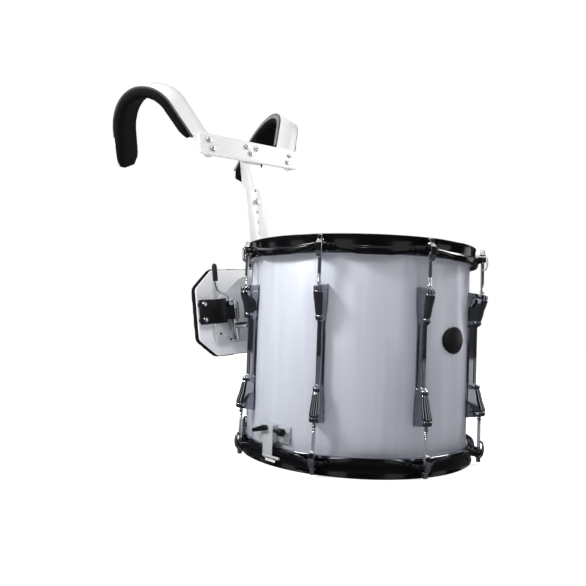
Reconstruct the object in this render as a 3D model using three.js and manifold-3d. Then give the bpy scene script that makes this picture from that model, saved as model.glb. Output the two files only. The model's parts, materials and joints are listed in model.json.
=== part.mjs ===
import * as THREE from 'three';
import { mergeVertices } from 'three/addons/utils/BufferGeometryUtils.js';
import Module from 'manifold-3d';

const wasm = await Module();
wasm.setup();

// All lengths are in millimetres, all angles in degrees.
// The drum stands on its bottom hoop and the carrier hangs behind it, towards +Y.
const clearance = 0.3;
const joinTolerance = 0.0001;

// Shell
const shellRadius = 176.8;
const shellWall = 7.5;
const shellHeight = 304.8;
const hoopRise = 12;
const edgeRound = 2.2;
const edgeBevel = 5.3;
const snareBedDepth = 1.2;
const snareBedAngle = 18;
const ventRadius = 5.2;
const ventAngle = 135;
const drumHeight = shellHeight + 2 * hoopRise;
const drumMiddle = drumHeight / 2;

// Vent grommet and badge
const grommetWall = 1.2;
const grommetFlange = 3.6;
const grommetProud = 1.4;
const badgeWidth = 56;
const badgeHeight = 39;
const badgeThickness = 1.4;
const badgeDome = 0.6;
const badgeCentre = 187;

// Heads
const filmThickness = 0.5;
const collarRound = 1.4;
const fleshHoopSpare = 1.4;
const fleshHoopHeight = 8;

// Counter hoops
const hoopRoom = 8.2;
const hoopWall = 2.3;
const hoopRadius = shellRadius + hoopRoom;
const fleshHoopRadius = hoopRadius - hoopWall - fleshHoopSpare;
const hoopBead = 0.9;
const beadDepth = 2.6;
const flangeReach = 5;
const earReach = 16;
const flangeDepth = 18.2;
const earDepth = 14.8;
const flangeRoll = 2.2;
const earRoll = 0.2;
const earThickness = 4.6;
const skirtDepth = 28.5;
const earSkirtDepth = 21.4;
const lipReach = 6.6;
const lipRadius = hoopRadius - lipReach;
const earStartAngle = 2;
const earEndAngle = 6;
const archEndAngle = 17;
const lipDepth = 15.5;
const gateWidth = 27;
const gateLow = 4.6;
const gateHigh = 12.4;

// Tension rods
const rodCount = 8;
const rodOut = 11.3;
const rodCircle = hoopRadius + rodOut;
const rodRadius = 2.6;
const rodHoleSpare = 0.6;
const rodSides = 6;
const entryCollarRadius = 3.6;
const entryCollarLength = 2.4;
const rodBury = 9;
const headRadius = 4;
const headLength = 6.6;
const headFlangeRadius = 5.4;
const headFlange = 1.6;
const clawWidth = 8.4;
const clawTopWidth = 7;
const clawSheet = 1.9;
const clawRise = 1.6;
const clawLegDepth = 16;
const clawBulge = 1.2;
const clawCurl = 5.5;

// Lugs
const lugHalfHeight = 95.7;
const lugFront = 8.5;
const lugDepth = rodCircle - shellRadius + lugFront;
const lugWidth = 15.4;
const lugWaistWidth = 7.6;
const lugWaistShare = 0.486;
const lugWaistDepth = lugDepth * lugWaistShare;
const lugRingWidth = 11.6;
const lugRingShare = 0.693;
const lugRingDepth = lugDepth * lugRingShare;
const lugFlangeWidth = 11.2;
const lugFlangeThickness = 2.4;
const lugEndSlant = 4.2;

// Strainer, butt plate and snares
const strainerAngle = -92.7;
const strainerHalfAngle = 11.3;
const strainerRise = 5;
const strainerLow = skirtDepth + strainerRise;
const strainerHighLeft = 50.4;
const strainerHighRight = 57.4;
const strainerPlate = 3;
const strainerBlock = 13;
const strainerBlockAngle = 4;
const strainerScrewRadius = 2.6;
const leverPivotHeight = 53.2;
const leverLength = 25;
const leverDrop = 7.4;
const leverHubRadius = 4;
const leverTipRadius = 2.6;
const leverThickness = 3.6;
const leverLift = 2.9;
const knobHeight = 50.2;
const knobRadius = 5.5;
const knobLength = 9;
const knobStart = 23;
const spindleRadius = 1.9;
const spindleBury = 6;
const spindleRib = 2.7;
const spindleRibCount = 3;
const strapShiftAngle = 1.5;
const strapWidth = 20;
const strapSheet = 1;
const strapGap = strapSheet / 2 + clearance;
const strapTop = 45.6;
const strapTurn = 17;
const strapReach = 29;
const strapEndRadius = hoopRadius - strapReach;
const strapDraw = 9;
const strapBarRadius = 2;
const strapBarLength = 34;
const buttHalfAngle = 6;
const buttHigh = 57;
const buttClampHeight = 9;
const buttLip = 6.4;
const strandCount = 10;
const strandPitch = 3.6;
const strandRadius = 0.6;
const strandShort = 26.8;
const strandHalfLength = shellRadius - strandShort;
const endPlateLength = 13;
const endPlateThickness = 1.1;
const strandDrop = 0.6;

// Carrier placing against the drum
const carrierRoom = 33.2;
const carrierDistance = rodCircle + carrierRoom;
const carrierHeight = 219.9;
const hangerBeside = 17.38;
const hangerLateral = rodCircle * Math.sin(radians(180 / rodCount)) + hangerBeside;
const carrierSideAngle = 5.08;
const carrierBackAngle = 5.32;

// Belly plate, its foam and the mount plate
const plateReach = 66;
const plateHalfWidth = hangerLateral + plateReach;
const plateTop = 83;
const plateBottom = -71.4;
const plateCutWide = 37.5;
const plateCutTop = 33;
const plateCutBottom = 31;
const plateSheet = 3;
const plateCorner = 5;
const foamThickness = 10;
const foamOverhang = 1.5;
const foamEdge = 3;
const mountReach = 35.5;
const mountHalfWidth = hangerLateral + mountReach;
const mountTopHalfWidth = 58;
const mountTop = 70;
const mountShoulder = 24;
const mountBottom = -50;
const mountDepth = 8.2;
const mountSheet = 2.5;
const mountCorner = 12;
const screwRadius = 3;
const screwProud = 1.6;

// Post and stem
const postWidth = 50;
const postSheet = 5;
const postCorner = 6;
const holeRadius = 3;
const holePitch = 21.2;
const holeCount = 3;
const heightBoltHeight = 216;
const holeDrop = 63.3;
const holeRise = 22;
const postRise = 29;
const holeLow = heightBoltHeight - holeDrop;
const holeTop = heightBoltHeight + holeRise;
const postTop = heightBoltHeight + postRise;
const boltShank = 2.8;
const boltHead = 5.2;
const boltProud = 4;
const nutRadius = 5;
const stemTail = 25;
const stemBottom = heightBoltHeight - stemTail;
const stemRise = 19.6;
const stemSlotTravel = 18;

// Yoke and shoulder straps
const yokeHalfLength = 126;
const yokeBelow = 17.4;
const yokeAbove = 22.6;
const yokeCorner = 9;
const yokeBoltSpread = 13;
const yokeBoltRise = 11.1;
const yokeBoltDrop = 1.4;
const yokeBoltShift = 4;
const armWidth = 44.4;
const armShift = 1.5;
const armSheet = 4;
const armFootLateral = 100.5;
const armFootRise = 67.4;
const armFootHeight = postTop + armFootRise;
const stemTop = armFootHeight + stemRise;
const yokeBottom = armFootHeight - yokeBelow;
const yokeTop = armFootHeight + yokeAbove;
const yokeBoltHigh = armFootHeight + yokeBoltRise;
const yokeBoltLow = armFootHeight - yokeBoltDrop;
const armFootBack = 5.66;
const armFootLength = 18;
const armStartAngle = 18.3;
const armRise = 97.8;
const armTurnAngle = 139.7;
const armTurnStartRadius = 55.8;
const armTurnEndRadius = 106.7;
const armRun = 70;
const armLeanAngle = 25.3;
const armToeAngle = 13.7;
const armBlend = 34;
const armFirstBolt = 3;
const armBoltPitch = 17;
const armEndShare = 0.62;
const padThickness = 17;
const padStart = 26;
const padOuterSpare = 6;
const padInnerSpare = 1.5;
const padRearSpare = 5;
const padEndShare = 0.3;
const padEndDepthShare = 0.72;

// Brackets, hangers and clamp handles
const bracketReach = 68.5;
const bracketOuter = hangerLateral + bracketReach;
const bracketTop = 29.5;
const bracketBottom = -13.7;
const bracketBack = -8.8;
const bracketSheet = 4.2;
const bracketFront = -30;
const tabReach = 24.5;
const tabInner = hangerLateral + tabReach;
const bracketBoltReach = 59.5;
const bracketBoltLateral = hangerLateral + bracketBoltReach;
const bracketBoltHigh = 21;
const bracketBoltLow = -6;
const bushRadius = 5.6;
const jawReach = 4.5;
const jawInner = hangerLateral + jawReach;
const jawFront = -28;
const jawHigh = 22;
const jawLow = -8;
const hangerBack = -20;
const hangerRadius = 7.25;
const hangerTop = 25.7;
const hangerBottom = -45;
const armHeight = -20;
const armRadius = 5.8;
const tipRadius = 4;
const tipRise = 26;
const leftHangerDrop = 16.2;
const hookStand = 12.8;
const hookPlace = Math.sqrt((shellRadius + hookStand) ** 2 - hangerLateral ** 2);
const hookReach = carrierDistance + hangerBack - hookPlace;
const hookBend = 8;
const handleHubReach = 17.5;
const handleHubLateral = hangerLateral + handleHubReach;
const handleHubHeight = 22;
const handleHubRadius = 6;
const handleHubProud = 6;
const handleRodRadius = 2.1;
const handleBend = 34;
const handleReach = 46.5;
const handleSide = hangerLateral + handleReach;
const handleTurnHeight = 48;
const handleTop = 86.5;
const gripBottom = 59.5;
const gripTop = 88.5;
const gripRadius = 4.6;
const receiverHalfWidth = 10;
const receiverProud = 20.7;
const receiverOuter = shellRadius + receiverProud;
const receiverHeight = 30;
const receiverBoreSpare = 0.5;
const receiverFloor = 4.4;
const receiverFlange = 3;
const receiverFlangeSpread = 9;

// Facets
const shellSteps = 56;
const fineSides = 12;
const sides = 8;
const curveSteps = 3;
const armSteps = 22;

const carrier = makeCarrierFrame();
const lugAngles = Array.from({ length: rodCount }, (_, i) => (i + 0.5) * (360 / rodCount));

const looks = {
  wrap: [0xdfe2ea, 0.18, 0.05],
  blackSteel: [0x101013, 0.22, 0.4],
  film: [0xf4f4f2, 0.45, 0],
  chrome: [0xc9ccd2, 0.12, 1],
  whitePaint: [0xf2f3f5, 0.35, 0],
  blackPaint: [0x17171a, 0.45, 0.1],
  foam: [0x151517, 0.9, 0],
  rubber: [0x1c1c1e, 0.8, 0],
  plastic: [0x141416, 0.35, 0],
  steel: [0xa9adb3, 0.35, 0.9],
};

function radians(degrees) {
  return THREE.MathUtils.degToRad(degrees);
}

function steps(count, first, last) {
  return Array.from({ length: count + 1 }, (_, i) => first + ((last - first) * i) / count);
}

// A point at a height and a distance from the drum's axis, in a direction counted from the front.
function around(angle, radius, height) {
  const turn = radians(angle);
  return new THREE.Vector3(radius * Math.sin(turn), -radius * Math.cos(turn), height);
}

function signedVolume(geometry) {
  const place = geometry.attributes.position;
  const corner = [0, 1, 2].map(() => new THREE.Vector3());
  let sum = 0;
  for (let i = 0; i < geometry.index.count; i += 3) {
    corner.forEach((c, j) => c.fromBufferAttribute(place, geometry.index.getX(i + j)));
    sum += corner[0].dot(corner[1].clone().cross(corner[2]));
  }
  return sum;
}

// Joined corners, with every face turned outwards.
function tidy(geometry) {
  const bare = geometry.clone();
  bare.deleteAttribute('normal');
  bare.deleteAttribute('uv');
  const joined = mergeVertices(bare, joinTolerance);
  const kept = [];
  const corners = joined.index.array;
  for (let i = 0; i < corners.length; i += 3) {
    const [a, b, c] = corners.slice(i, i + 3);
    if (a !== b && b !== c && c !== a) kept.push(a, b, c);
  }
  joined.setIndex(kept);
  if (signedVolume(joined) < 0) joined.setIndex(kept.reverse());
  return joined;
}

function solid(geometry) {
  const ready = tidy(geometry);
  const mesh = new wasm.Mesh({
    numProp: 3,
    vertProperties: new Float32Array(ready.attributes.position.array),
    triVerts: new Uint32Array(ready.index.array),
  });
  return new wasm.Manifold(mesh);
}

function surface(body) {
  const mesh = body.getMesh();
  const geometry = new THREE.BufferGeometry();
  geometry.setAttribute('position', new THREE.Float32BufferAttribute(mesh.vertProperties, 3));
  geometry.setIndex(Array.from(mesh.triVerts));
  return geometry;
}

function join(first, ...others) {
  return surface(others.reduce((body, other) => body.add(solid(other)), solid(first)));
}

function cut(first, ...others) {
  return surface(others.reduce((body, other) => body.subtract(solid(other)), solid(first)));
}

// Flat cover over a closed loop of points.
function cover(loop) {
  const normal = new THREE.Vector3();
  loop.forEach((point, i) => normal.add(point.clone().cross(loop[(i + 1) % loop.length])));
  normal.normalize();
  const upright = Math.abs(normal.z) > 0.9 ? new THREE.Vector3(1, 0, 0) : new THREE.Vector3(0, 0, 1);
  const across = upright.cross(normal).normalize();
  const along = normal.clone().cross(across);
  const flat = loop.map((point) => new THREE.Vector2(point.dot(across), point.dot(along)));
  return THREE.ShapeUtils.triangulateShape(flat, []);
}

// A surface through loops that all have the same count of points; a round trip or two covered ends.
function skin(loops, roundTrip = false) {
  const size = loops[0].length;
  const corners = [];
  const rows = roundTrip ? loops.length : loops.length - 1;
  for (let i = 0; i < rows; i += 1) {
    const here = i * size;
    const next = ((i + 1) % loops.length) * size;
    for (let j = 0; j < size; j += 1) {
      const k = (j + 1) % size;
      corners.push(here + j, here + k, next + k, here + j, next + k, next + j);
    }
  }
  if (!roundTrip) {
    const last = (loops.length - 1) * size;
    cover(loops[0]).forEach(([a, b, c]) => corners.push(a, c, b));
    cover(loops[loops.length - 1]).forEach(([a, b, c]) => corners.push(last + a, last + b, last + c));
  }
  const geometry = new THREE.BufferGeometry();
  geometry.setAttribute('position', new THREE.Float32BufferAttribute(loops.flat().flatMap((p) => p.toArray()), 3));
  geometry.setIndex(corners);
  return tidy(geometry);
}

// A closed profile of [radius, height] carried round the drum's axis; the profile may change with the angle.
function ring(angles, profileAt) {
  return skin(angles.map((angle) => profileAt(angle).map(([r, z]) => around(angle, r, z))), true);
}

function fullTurn(count) {
  return steps(count, 0, 360).slice(0, count);
}

// A turned piece on the Z axis from a profile of [radius, height].
function turned(profile, count = sides) {
  const points = profile.map(([r, z]) => new THREE.Vector2(r, z));
  return tidy(new THREE.LatheGeometry(points, count).rotateX(Math.PI / 2));
}

// A round bar between two points.
function bar(radius, from, to, count = sides) {
  const way = to.clone().sub(from);
  const geometry = new THREE.CylinderGeometry(radius, radius, way.length(), count);
  geometry.applyQuaternion(
    new THREE.Quaternion().setFromUnitVectors(new THREE.Vector3(0, 1, 0), way.clone().normalize()),
  );
  return geometry.translate(...from.clone().add(to).multiplyScalar(0.5).toArray());
}

// A round bar along a smooth path through points.
function bentBar(radius, points, count, pieces) {
  const path = new THREE.CatmullRomCurve3(points, false, 'centripetal');
  const round = new THREE.Shape().absarc(0, 0, radius, 0, 2 * Math.PI);
  const options = { steps: pieces, curveSegments: count / 2, extrudePath: path, bevelEnabled: false };
  return tidy(new THREE.ExtrudeGeometry(round, options));
}

function block(low, high) {
  const size = high.map((h, i) => h - low[i]);
  const middle = high.map((h, i) => (h + low[i]) / 2);
  return new THREE.BoxGeometry(...size).translate(...middle);
}

// An outline with rounded corners from [across, up] points.
function rounded(points, radius) {
  const shape = new THREE.Shape();
  points.forEach((point, i) => {
    const here = new THREE.Vector2(...point);
    const before = new THREE.Vector2(...points[(i + points.length - 1) % points.length]);
    const after = new THREE.Vector2(...points[(i + 1) % points.length]);
    const start = here.clone().add(before.sub(here).setLength(radius));
    const end = here.clone().add(after.sub(here).setLength(radius));
    if (i === 0) shape.moveTo(start.x, start.y);
    else shape.lineTo(start.x, start.y);
    shape.quadraticCurveTo(here.x, here.y, end.x, end.y);
  });
  shape.closePath();
  return shape;
}

// An upright sheet with the outline across X and up Z, from one depth to another along Y.
function sheet(shape, from, to) {
  const options = { depth: to - from, curveSegments: curveSteps, bevelEnabled: false };
  return tidy(new THREE.ExtrudeGeometry(shape, options).rotateX(Math.PI / 2).translate(0, to, 0));
}

function piece(name, geometry, look) {
  const [color, roughness, metalness] = looks[look];
  const mesh = new THREE.Mesh(tidy(geometry), new THREE.MeshStandardMaterial({ color, roughness, metalness }));
  mesh.name = name;
  return mesh;
}

// The carrier's own frame: X to the player's left, Y towards the player, Z up the post.
function makeCarrierFrame() {
  const lean = [carrierSideAngle, carrierBackAngle].map((angle) => Math.tan(radians(angle)));
  const up = new THREE.Vector3(-lean[0], lean[1], 1).normalize();
  const across = new THREE.Vector3(1, 0, 0).projectOnPlane(up).normalize();
  const back = up.clone().cross(across);
  return new THREE.Matrix4()
    .makeBasis(across, back, up)
    .setPosition(0, carrierDistance, carrierHeight);
}

function onCarrier(name, geometry, look) {
  return piece(name, geometry.clone().applyMatrix4(carrier), look);
}

function mirrored(geometry) {
  return tidy(geometry.clone().scale(-1, 1, 1));
}

function point(x, y, z) {
  return new THREE.Vector3(x, y, z);
}

function makeShell() {
  const top = hoopRise + shellHeight;
  const bedAt = (angle) => {
    const away = Math.min(...[90, 270].map((side) => Math.abs(angle - side)));
    return snareBedDepth * (1 - THREE.MathUtils.smoothstep(away, 0, snareBedAngle));
  };
  const body = ring(fullTurn(shellSteps), (angle) => {
    const foot = hoopRise + bedAt(angle);
    return [
      [shellRadius, foot + edgeRound],
      [shellRadius, top - edgeRound],
      [shellRadius - edgeRound, top],
      [shellRadius - shellWall, top - edgeBevel],
      [shellRadius - shellWall, foot + edgeBevel],
      [shellRadius - edgeRound, foot],
    ];
  });
  const middle = shellRadius - shellWall / 2;
  const reach = shellWall;
  const bore = bar(
    ventRadius + grommetWall + clearance,
    around(ventAngle, middle - reach, drumMiddle),
    around(ventAngle, middle + reach, drumMiddle),
    fineSides,
  );
  return piece('shell', cut(body, bore), 'wrap');
}

function makeGrommet() {
  const inner = ventRadius;
  const outer = ventRadius + grommetWall;
  const flange = outer + grommetFlange;
  const face = shellRadius + clearance;
  const profile = [
    [inner, face - shellWall],
    [outer, face - shellWall],
    [outer, face],
    [flange, face],
    [outer, face + grommetProud],
    [inner, face + grommetProud],
    [inner, face - shellWall],
  ];
  const upright = turned(profile, fineSides).rotateX(Math.PI / 2);
  return piece('vent_grommet', upright.rotateZ(radians(ventAngle)).translate(0, 0, drumMiddle), 'chrome');
}

// A curved oval plate that follows the shell at the front, a little domed.
function makeBadge() {
  const inner = shellRadius + clearance;
  const halfSpread = THREE.MathUtils.radToDeg(badgeWidth / 2 / shellRadius);
  const endShare = 0.985;
  const loops = steps(2 * fineSides, -Math.PI / 2, Math.PI / 2).map((turn) => {
    const share = endShare * Math.sin(turn);
    const half = (badgeHeight / 2) * Math.sqrt(1 - share * share);
    const angle = share * halfSpread;
    const outer = inner + badgeThickness;
    return [
      around(angle, inner, badgeCentre - half),
      around(angle, outer, badgeCentre - half),
      around(angle, outer + badgeDome, badgeCentre - half / 2),
      around(angle, outer + badgeDome, badgeCentre + half / 2),
      around(angle, outer, badgeCentre + half),
      around(angle, inner, badgeCentre + half),
    ];
  });
  return piece('badge', skin(loops), 'plastic');
}

// The height of a level counted from the hoop edge of the top or the bottom end.
function level(isTop, depth) {
  return isTop ? drumHeight - depth : depth;
}

function makeHead(isTop) {
  const film = hoopRise - clearance;
  const inner = shellRadius + clearance;
  const outer = inner + filmThickness;
  const seat = lipDepth + hoopWall + clearance;
  const profile = [
    [0, film - filmThickness],
    [outer - collarRound, film - filmThickness],
    [outer, film - filmThickness + collarRound],
    [outer, seat],
    [fleshHoopRadius, seat],
    [fleshHoopRadius, seat + fleshHoopHeight],
    [inner, seat + fleshHoopHeight],
    [inner, film + collarRound],
    [inner - collarRound, film],
    [0, film],
  ];
  const placed = profile.map(([r, depth]) => [r, level(isTop, depth)]);
  return piece(isTop ? 'batter_head' : 'snare_head', turned(placed, shellSteps), 'film');
}

function mix(from, to, share) {
  return from + (to - from) * share;
}

// Around one rod the rim reaches out to an ear and the skirt below it arches up.
const hoopStations = [-13, -6.5, -2.8, 0, 2.8, 6.5, 13, 22.5];

function makeHoop(isTop) {
  const angles = lugAngles.flatMap((rod) => hoopStations.map((step) => rod + step));
  const inner = hoopRadius - hoopWall;
  const body = ring(angles, (angle) => {
    const away = Math.min(...lugAngles.map((rod) => Math.abs(angle - rod)));
    const ear = 1 - THREE.MathUtils.smoothstep(away, earStartAngle, earEndAngle);
    const arch = 1 - THREE.MathUtils.smoothstep(away, earStartAngle, archEndAngle);
    const rim = mix(flangeDepth, earDepth, arch);
    const outer = hoopRadius + mix(flangeReach, earReach, ear);
    const roll = mix(flangeRoll, earRoll, ear);
    const under = rim + mix(flangeRoll + hoopWall, earThickness, ear);
    const skirt = mix(skirtDepth, earSkirtDepth, arch);
    return [
      [inner, 0],
      [hoopRadius + hoopBead, 0],
      [hoopRadius, beadDepth],
      [hoopRadius, rim - roll],
      [mix(hoopRadius, outer, 0.5), rim],
      [outer, rim + roll],
      [outer, skirt],
      [outer - hoopWall, skirt],
      [outer - hoopWall, under],
      [inner, under],
      [inner, lipDepth + hoopWall],
      [lipRadius, lipDepth + hoopWall],
      [lipRadius, lipDepth],
      [inner, lipDepth],
    ].map(([r, depth]) => [r, level(isTop, depth)]);
  });
  const holes = lugAngles.map((angle) =>
    bar(
      rodRadius + rodHoleSpare,
      around(angle, rodCircle, level(isTop, 0)),
      around(angle, rodCircle, level(isTop, skirtDepth)),
      rodSides,
    ),
  );
  const gates = isTop ? [] : [strainerAngle + strapShiftAngle, strainerAngle + 180].map((angle) => {
    const half = gateWidth / 2;
    const gate = block([-half, -hoopRadius - flangeReach, gateLow], [half, hoopWall - lipRadius, gateHigh]);
    return gate.rotateZ(radians(angle));
  });
  return piece(isTop ? 'top_hoop' : 'bottom_hoop', cut(body, ...holes, ...gates), 'blackSteel');
}

// Half of a lug from its waist to its end: [height share, width, depth, base width, end slant share].
const lugStations = [
  [0.44, lugWaistWidth, lugWaistDepth, lugFlangeWidth, 0],
  [0.49, lugRingWidth, lugRingDepth, lugRingWidth, 0],
  [0.53, lugRingWidth, lugRingDepth, lugRingWidth, 0],
  [0.72, lugWidth - 4 * clearance, lugDepth - 2 * lugFlangeThickness, lugWidth, 0],
  [0.88, lugWidth, lugDepth, lugWidth, 0.5],
  [0.97, lugWidth, lugDepth, lugWidth, 1],
  [1, lugWidth - 4 * clearance, lugDepth - 2 * clearance, lugWidth - 4 * clearance, 1],
];
const lugSide = [
  [0.5, 0.62],
  [0.42, 0.84],
  [0.2, 0.97],
];

function makeLug() {
  const half = (station, sign) => {
    const [share, width, depth, base, slant] = station;
    const back = shellRadius + clearance;
    const edge = [
      [base / 2, 0],
      [base / 2, lugFlangeThickness],
      ...lugSide.map(([across, out]) => [width * across, depth * out]),
    ];
    const outline = [...edge, ...edge.slice().reverse().map(([x, d]) => [-x, d])];
    return outline.map(([x, d]) => {
      const drop = (slant * lugEndSlant * d) / lugDepth;
      return point(x, -back - d, drumMiddle + sign * (share * lugHalfHeight - drop));
    });
  };
  const lower = lugStations.slice().reverse().map((station) => half(station, -1));
  const upper = lugStations.map((station) => half(station, 1));
  const body = skin([...lower, ...upper]);
  const bores = [1, -1].map((sign) => {
    const end = point(0, -rodCircle, drumMiddle + sign * (lugHalfHeight + lugEndSlant));
    const bottom = point(0, -rodCircle, drumMiddle + sign * (lugHalfHeight - lugEndSlant - rodBury - rodRadius));
    return bar(rodRadius + rodHoleSpare, end, bottom, rodSides);
  });
  return cut(body, ...bores);
}

// A tension rod with its head, entry collar and the claw that bears on the ear, for the top hoop.
function makeTensionRod() {
  const earTop = drumHeight - earDepth;
  const seat = earTop + clearance;
  const lugEnd = drumMiddle + lugHalfHeight;
  const clawTop = seat + clawSheet + clawRise;
  const shaft = turned([
    [0, lugEnd - lugEndSlant - rodBury],
    [rodRadius, lugEnd - lugEndSlant - rodBury],
    [rodRadius, lugEnd + clearance],
    [entryCollarRadius, lugEnd + clearance],
    [rodRadius, lugEnd + entryCollarLength],
    [rodRadius, clawTop - clawSheet],
    [headFlangeRadius, clawTop - clawSheet / 2],
    [headRadius, clawTop + headFlange],
    [headRadius, clawTop + headFlange + headLength],
    [0, clawTop + headFlange + headLength],
  ], rodSides);
  const outer = hoopRadius + earReach + clearance;
  const wall = hoopRadius + clearance;
  const legEnd = seat - clawLegDepth;
  const side = new THREE.Shape();
  const outline = [
    [wall + clawSheet / 2, seat],
    [outer, seat],
    [outer, legEnd],
    [outer - clawCurl, legEnd - clawCurl / 2],
    [outer - clawCurl, legEnd - clawCurl / 2 - clawSheet],
    [outer + clawSheet, legEnd],
    [outer + clawSheet + clawBulge, seat - clawLegDepth / 2],
    [outer + clawSheet, seat + clawSheet / 2],
    [outer - clawSheet, clawTop],
    [wall + clawSheet / 2, clawTop],
  ];
  outline.forEach(([r, z], i) => (i === 0 ? side.moveTo(r, z) : side.lineTo(r, z)));
  const plain = new THREE.ExtrudeGeometry(side, { depth: clawWidth, bevelEnabled: false });
  plain.rotateX(Math.PI / 2).rotateZ(-Math.PI / 2).translate(clawWidth / 2, 0, 0);
  const claw = tidy(plain);
  const place = claw.attributes.position;
  for (let i = 0; i < place.count; i += 1) {
    const high = THREE.MathUtils.smoothstep(place.getZ(i), seat, clawTop);
    place.setX(i, place.getX(i) * mix(1, clawTopWidth / clawWidth, high));
  }
  return join(claw, shaft.translate(0, -rodCircle, 0));
}

function makeTensioning() {
  const lug = makeLug();
  const rod = makeTensionRod();
  const mirroredRod = tidy(rod.clone().translate(0, 0, -drumMiddle).scale(1, 1, -1).translate(0, 0, drumMiddle));
  return lugAngles.flatMap((angle, i) => {
    const turn = radians(angle);
    return [
      piece(`lug_${i + 1}`, lug.clone().rotateZ(turn), 'chrome'),
      piece(`tension_rod_top_${i + 1}`, rod.clone().rotateZ(turn), 'chrome'),
      piece(`tension_rod_bottom_${i + 1}`, mirroredRod.clone().rotateZ(turn), 'chrome'),
    ];
  });
}

// A block that follows the shell between two angles, its top running from one height to another.
function curvedBlock(angles, inner, outer, low, highLeft, highRight) {
  const loops = angles.map((angle, i) => {
    const high = mix(highLeft, highRight, i / (angles.length - 1));
    return [
      around(angle, inner, low),
      around(angle, outer, low),
      around(angle, outer, high),
      around(angle, inner, high),
    ];
  });
  return skin(loops);
}

// Round screw heads on a face that looks away from the drum's axis.
function screwHead(x, radius, height) {
  return bar(screwRadius, point(x, -radius + screwProud, height), point(x, -radius - screwProud, height));
}

function makeStrainer() {
  const inner = shellRadius + clearance;
  const plateFace = inner + strainerPlate;
  const blockFace = inner + strainerBlock;
  const plate = curvedBlock(
    steps(sides, -strainerHalfAngle, strainerHalfAngle),
    inner,
    plateFace,
    strainerLow,
    strainerHighLeft,
    strainerHighRight,
  );
  const core = curvedBlock(
    steps(curveSteps, -strainerBlockAngle, strainerBlockAngle),
    plateFace - strainerPlate / 2,
    blockFace,
    strainerLow,
    strainerHighRight,
    strainerHighRight,
  );
  const screws = [-1, 1].map((side) => {
    const spread = (side * (strainerHalfAngle + strainerBlockAngle)) / 2;
    const low = strainerLow + 2 * strainerScrewRadius;
    return screwHead(0, plateFace, low).rotateZ(radians(spread));
  });
  const bore = bar(
    spindleRadius + clearance,
    point(knobStart, -knobAxisRadius(), knobHeight),
    point(knobStart - 2 * spindleBury - knobLength, -knobAxisRadius(), knobHeight),
  );
  const body = cut(join(plate, core, ...screws), bore);
  return piece('strainer_body', body.rotateZ(radians(strainerAngle)), 'chrome');
}

// The knob's axis stands off the strainer's plate by the knob's own radius.
function knobAxisRadius() {
  return shellRadius + strainerPlate + knobRadius + 4 * clearance;
}

function makeLever() {
  const face = shellRadius + strainerBlock + 2 * clearance;
  const front = face + leverLift;
  const fall = Math.atan2(leverDrop, leverLength);
  const shape = new THREE.Shape();
  shape.absarc(0, 0, leverHubRadius, -Math.PI / 2, Math.PI / 2, false);
  shape.lineTo(-leverLength + leverTipRadius, leverTipRadius);
  shape.absarc(-leverLength + leverTipRadius, 0, leverTipRadius, Math.PI / 2, 1.5 * Math.PI, false);
  shape.closePath();
  const arm = sheet(shape, -front - leverThickness, -front);
  arm.rotateY(-fall);
  const pivot = bar(leverHubRadius, point(0, -face, 0), point(0, -front - leverThickness / 2, 0));
  const cap = bar(leverTipRadius, point(0, -front, 0), point(0, -front - leverThickness - screwProud, 0));
  const whole = join(arm, pivot, cap).translate(0, 0, leverPivotHeight);
  return piece('strainer_lever', whole.rotateZ(radians(strainerAngle)), 'plastic');
}

function makeKnob() {
  const ribs = steps(spindleRibCount, 0, 1).slice(0, -1);
  const span = knobStart - knobLength + 2 * clearance;
  const free = knobStart - span;
  const profile = [
    [0, span - spindleBury],
    [spindleRadius, span - spindleBury],
    [spindleRadius, span],
    ...ribs.flatMap((share) => [
      [spindleRadius, span + free * share],
      [spindleRib, span + free * (share + 0.5 / spindleRibCount)],
    ]),
    [spindleRadius, knobStart],
    [knobRadius - 2 * clearance, knobStart],
    [knobRadius, knobStart + 2 * clearance],
    [knobRadius, knobStart + knobLength - 2 * clearance],
    [knobRadius - 2 * clearance, knobStart + knobLength],
    [0, knobStart + knobLength],
  ];
  const knob = turned(profile, fineSides).rotateY(Math.PI / 2);
  knob.translate(0, -knobAxisRadius(), knobHeight);
  return piece('tension_knob', knob.rotateZ(radians(strainerAngle)), 'plastic');
}

// The strap's middle line of [radius, height]: down the face of the hoop and in through its gate.
function strapLine(face) {
  const out = face + strapGap;
  return [
    [out, strapTop],
    [out, strapTurn],
    [out - strapSheet, strapTurn - 3 * strapSheet],
    [hoopRadius + flangeReach / 2, strapDraw + strapSheet],
    [hoopRadius, strapDraw],
    [strapEndRadius, strapDraw],
  ];
}

function makeStrap(name, angle, face, hasBar) {
  const line = strapLine(face);
  const half = strapWidth / 2;
  const loops = line.map(([r, z], i) => {
    const before = line[Math.max(i - 1, 0)];
    const after = line[Math.min(i + 1, line.length - 1)];
    const way = new THREE.Vector2(after[0] - before[0], after[1] - before[1]).normalize();
    const side = way.rotateAround(new THREE.Vector2(), Math.PI / 2).multiplyScalar(strapSheet / 2);
    return [
      point(-half, -r - side.x, z + side.y),
      point(half, -r - side.x, z + side.y),
      point(half, -r + side.x, z - side.y),
      point(-half, -r + side.x, z - side.y),
    ];
  });
  let strap = skin(loops);
  if (hasBar) {
    const [r, z] = line[2];
    strap = join(strap, bar(strapBarRadius, point(-half, -r, z), point(strapBarLength - half, -r, z)));
  }
  return piece(name, strap.rotateZ(radians(angle)), 'steel');
}

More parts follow.
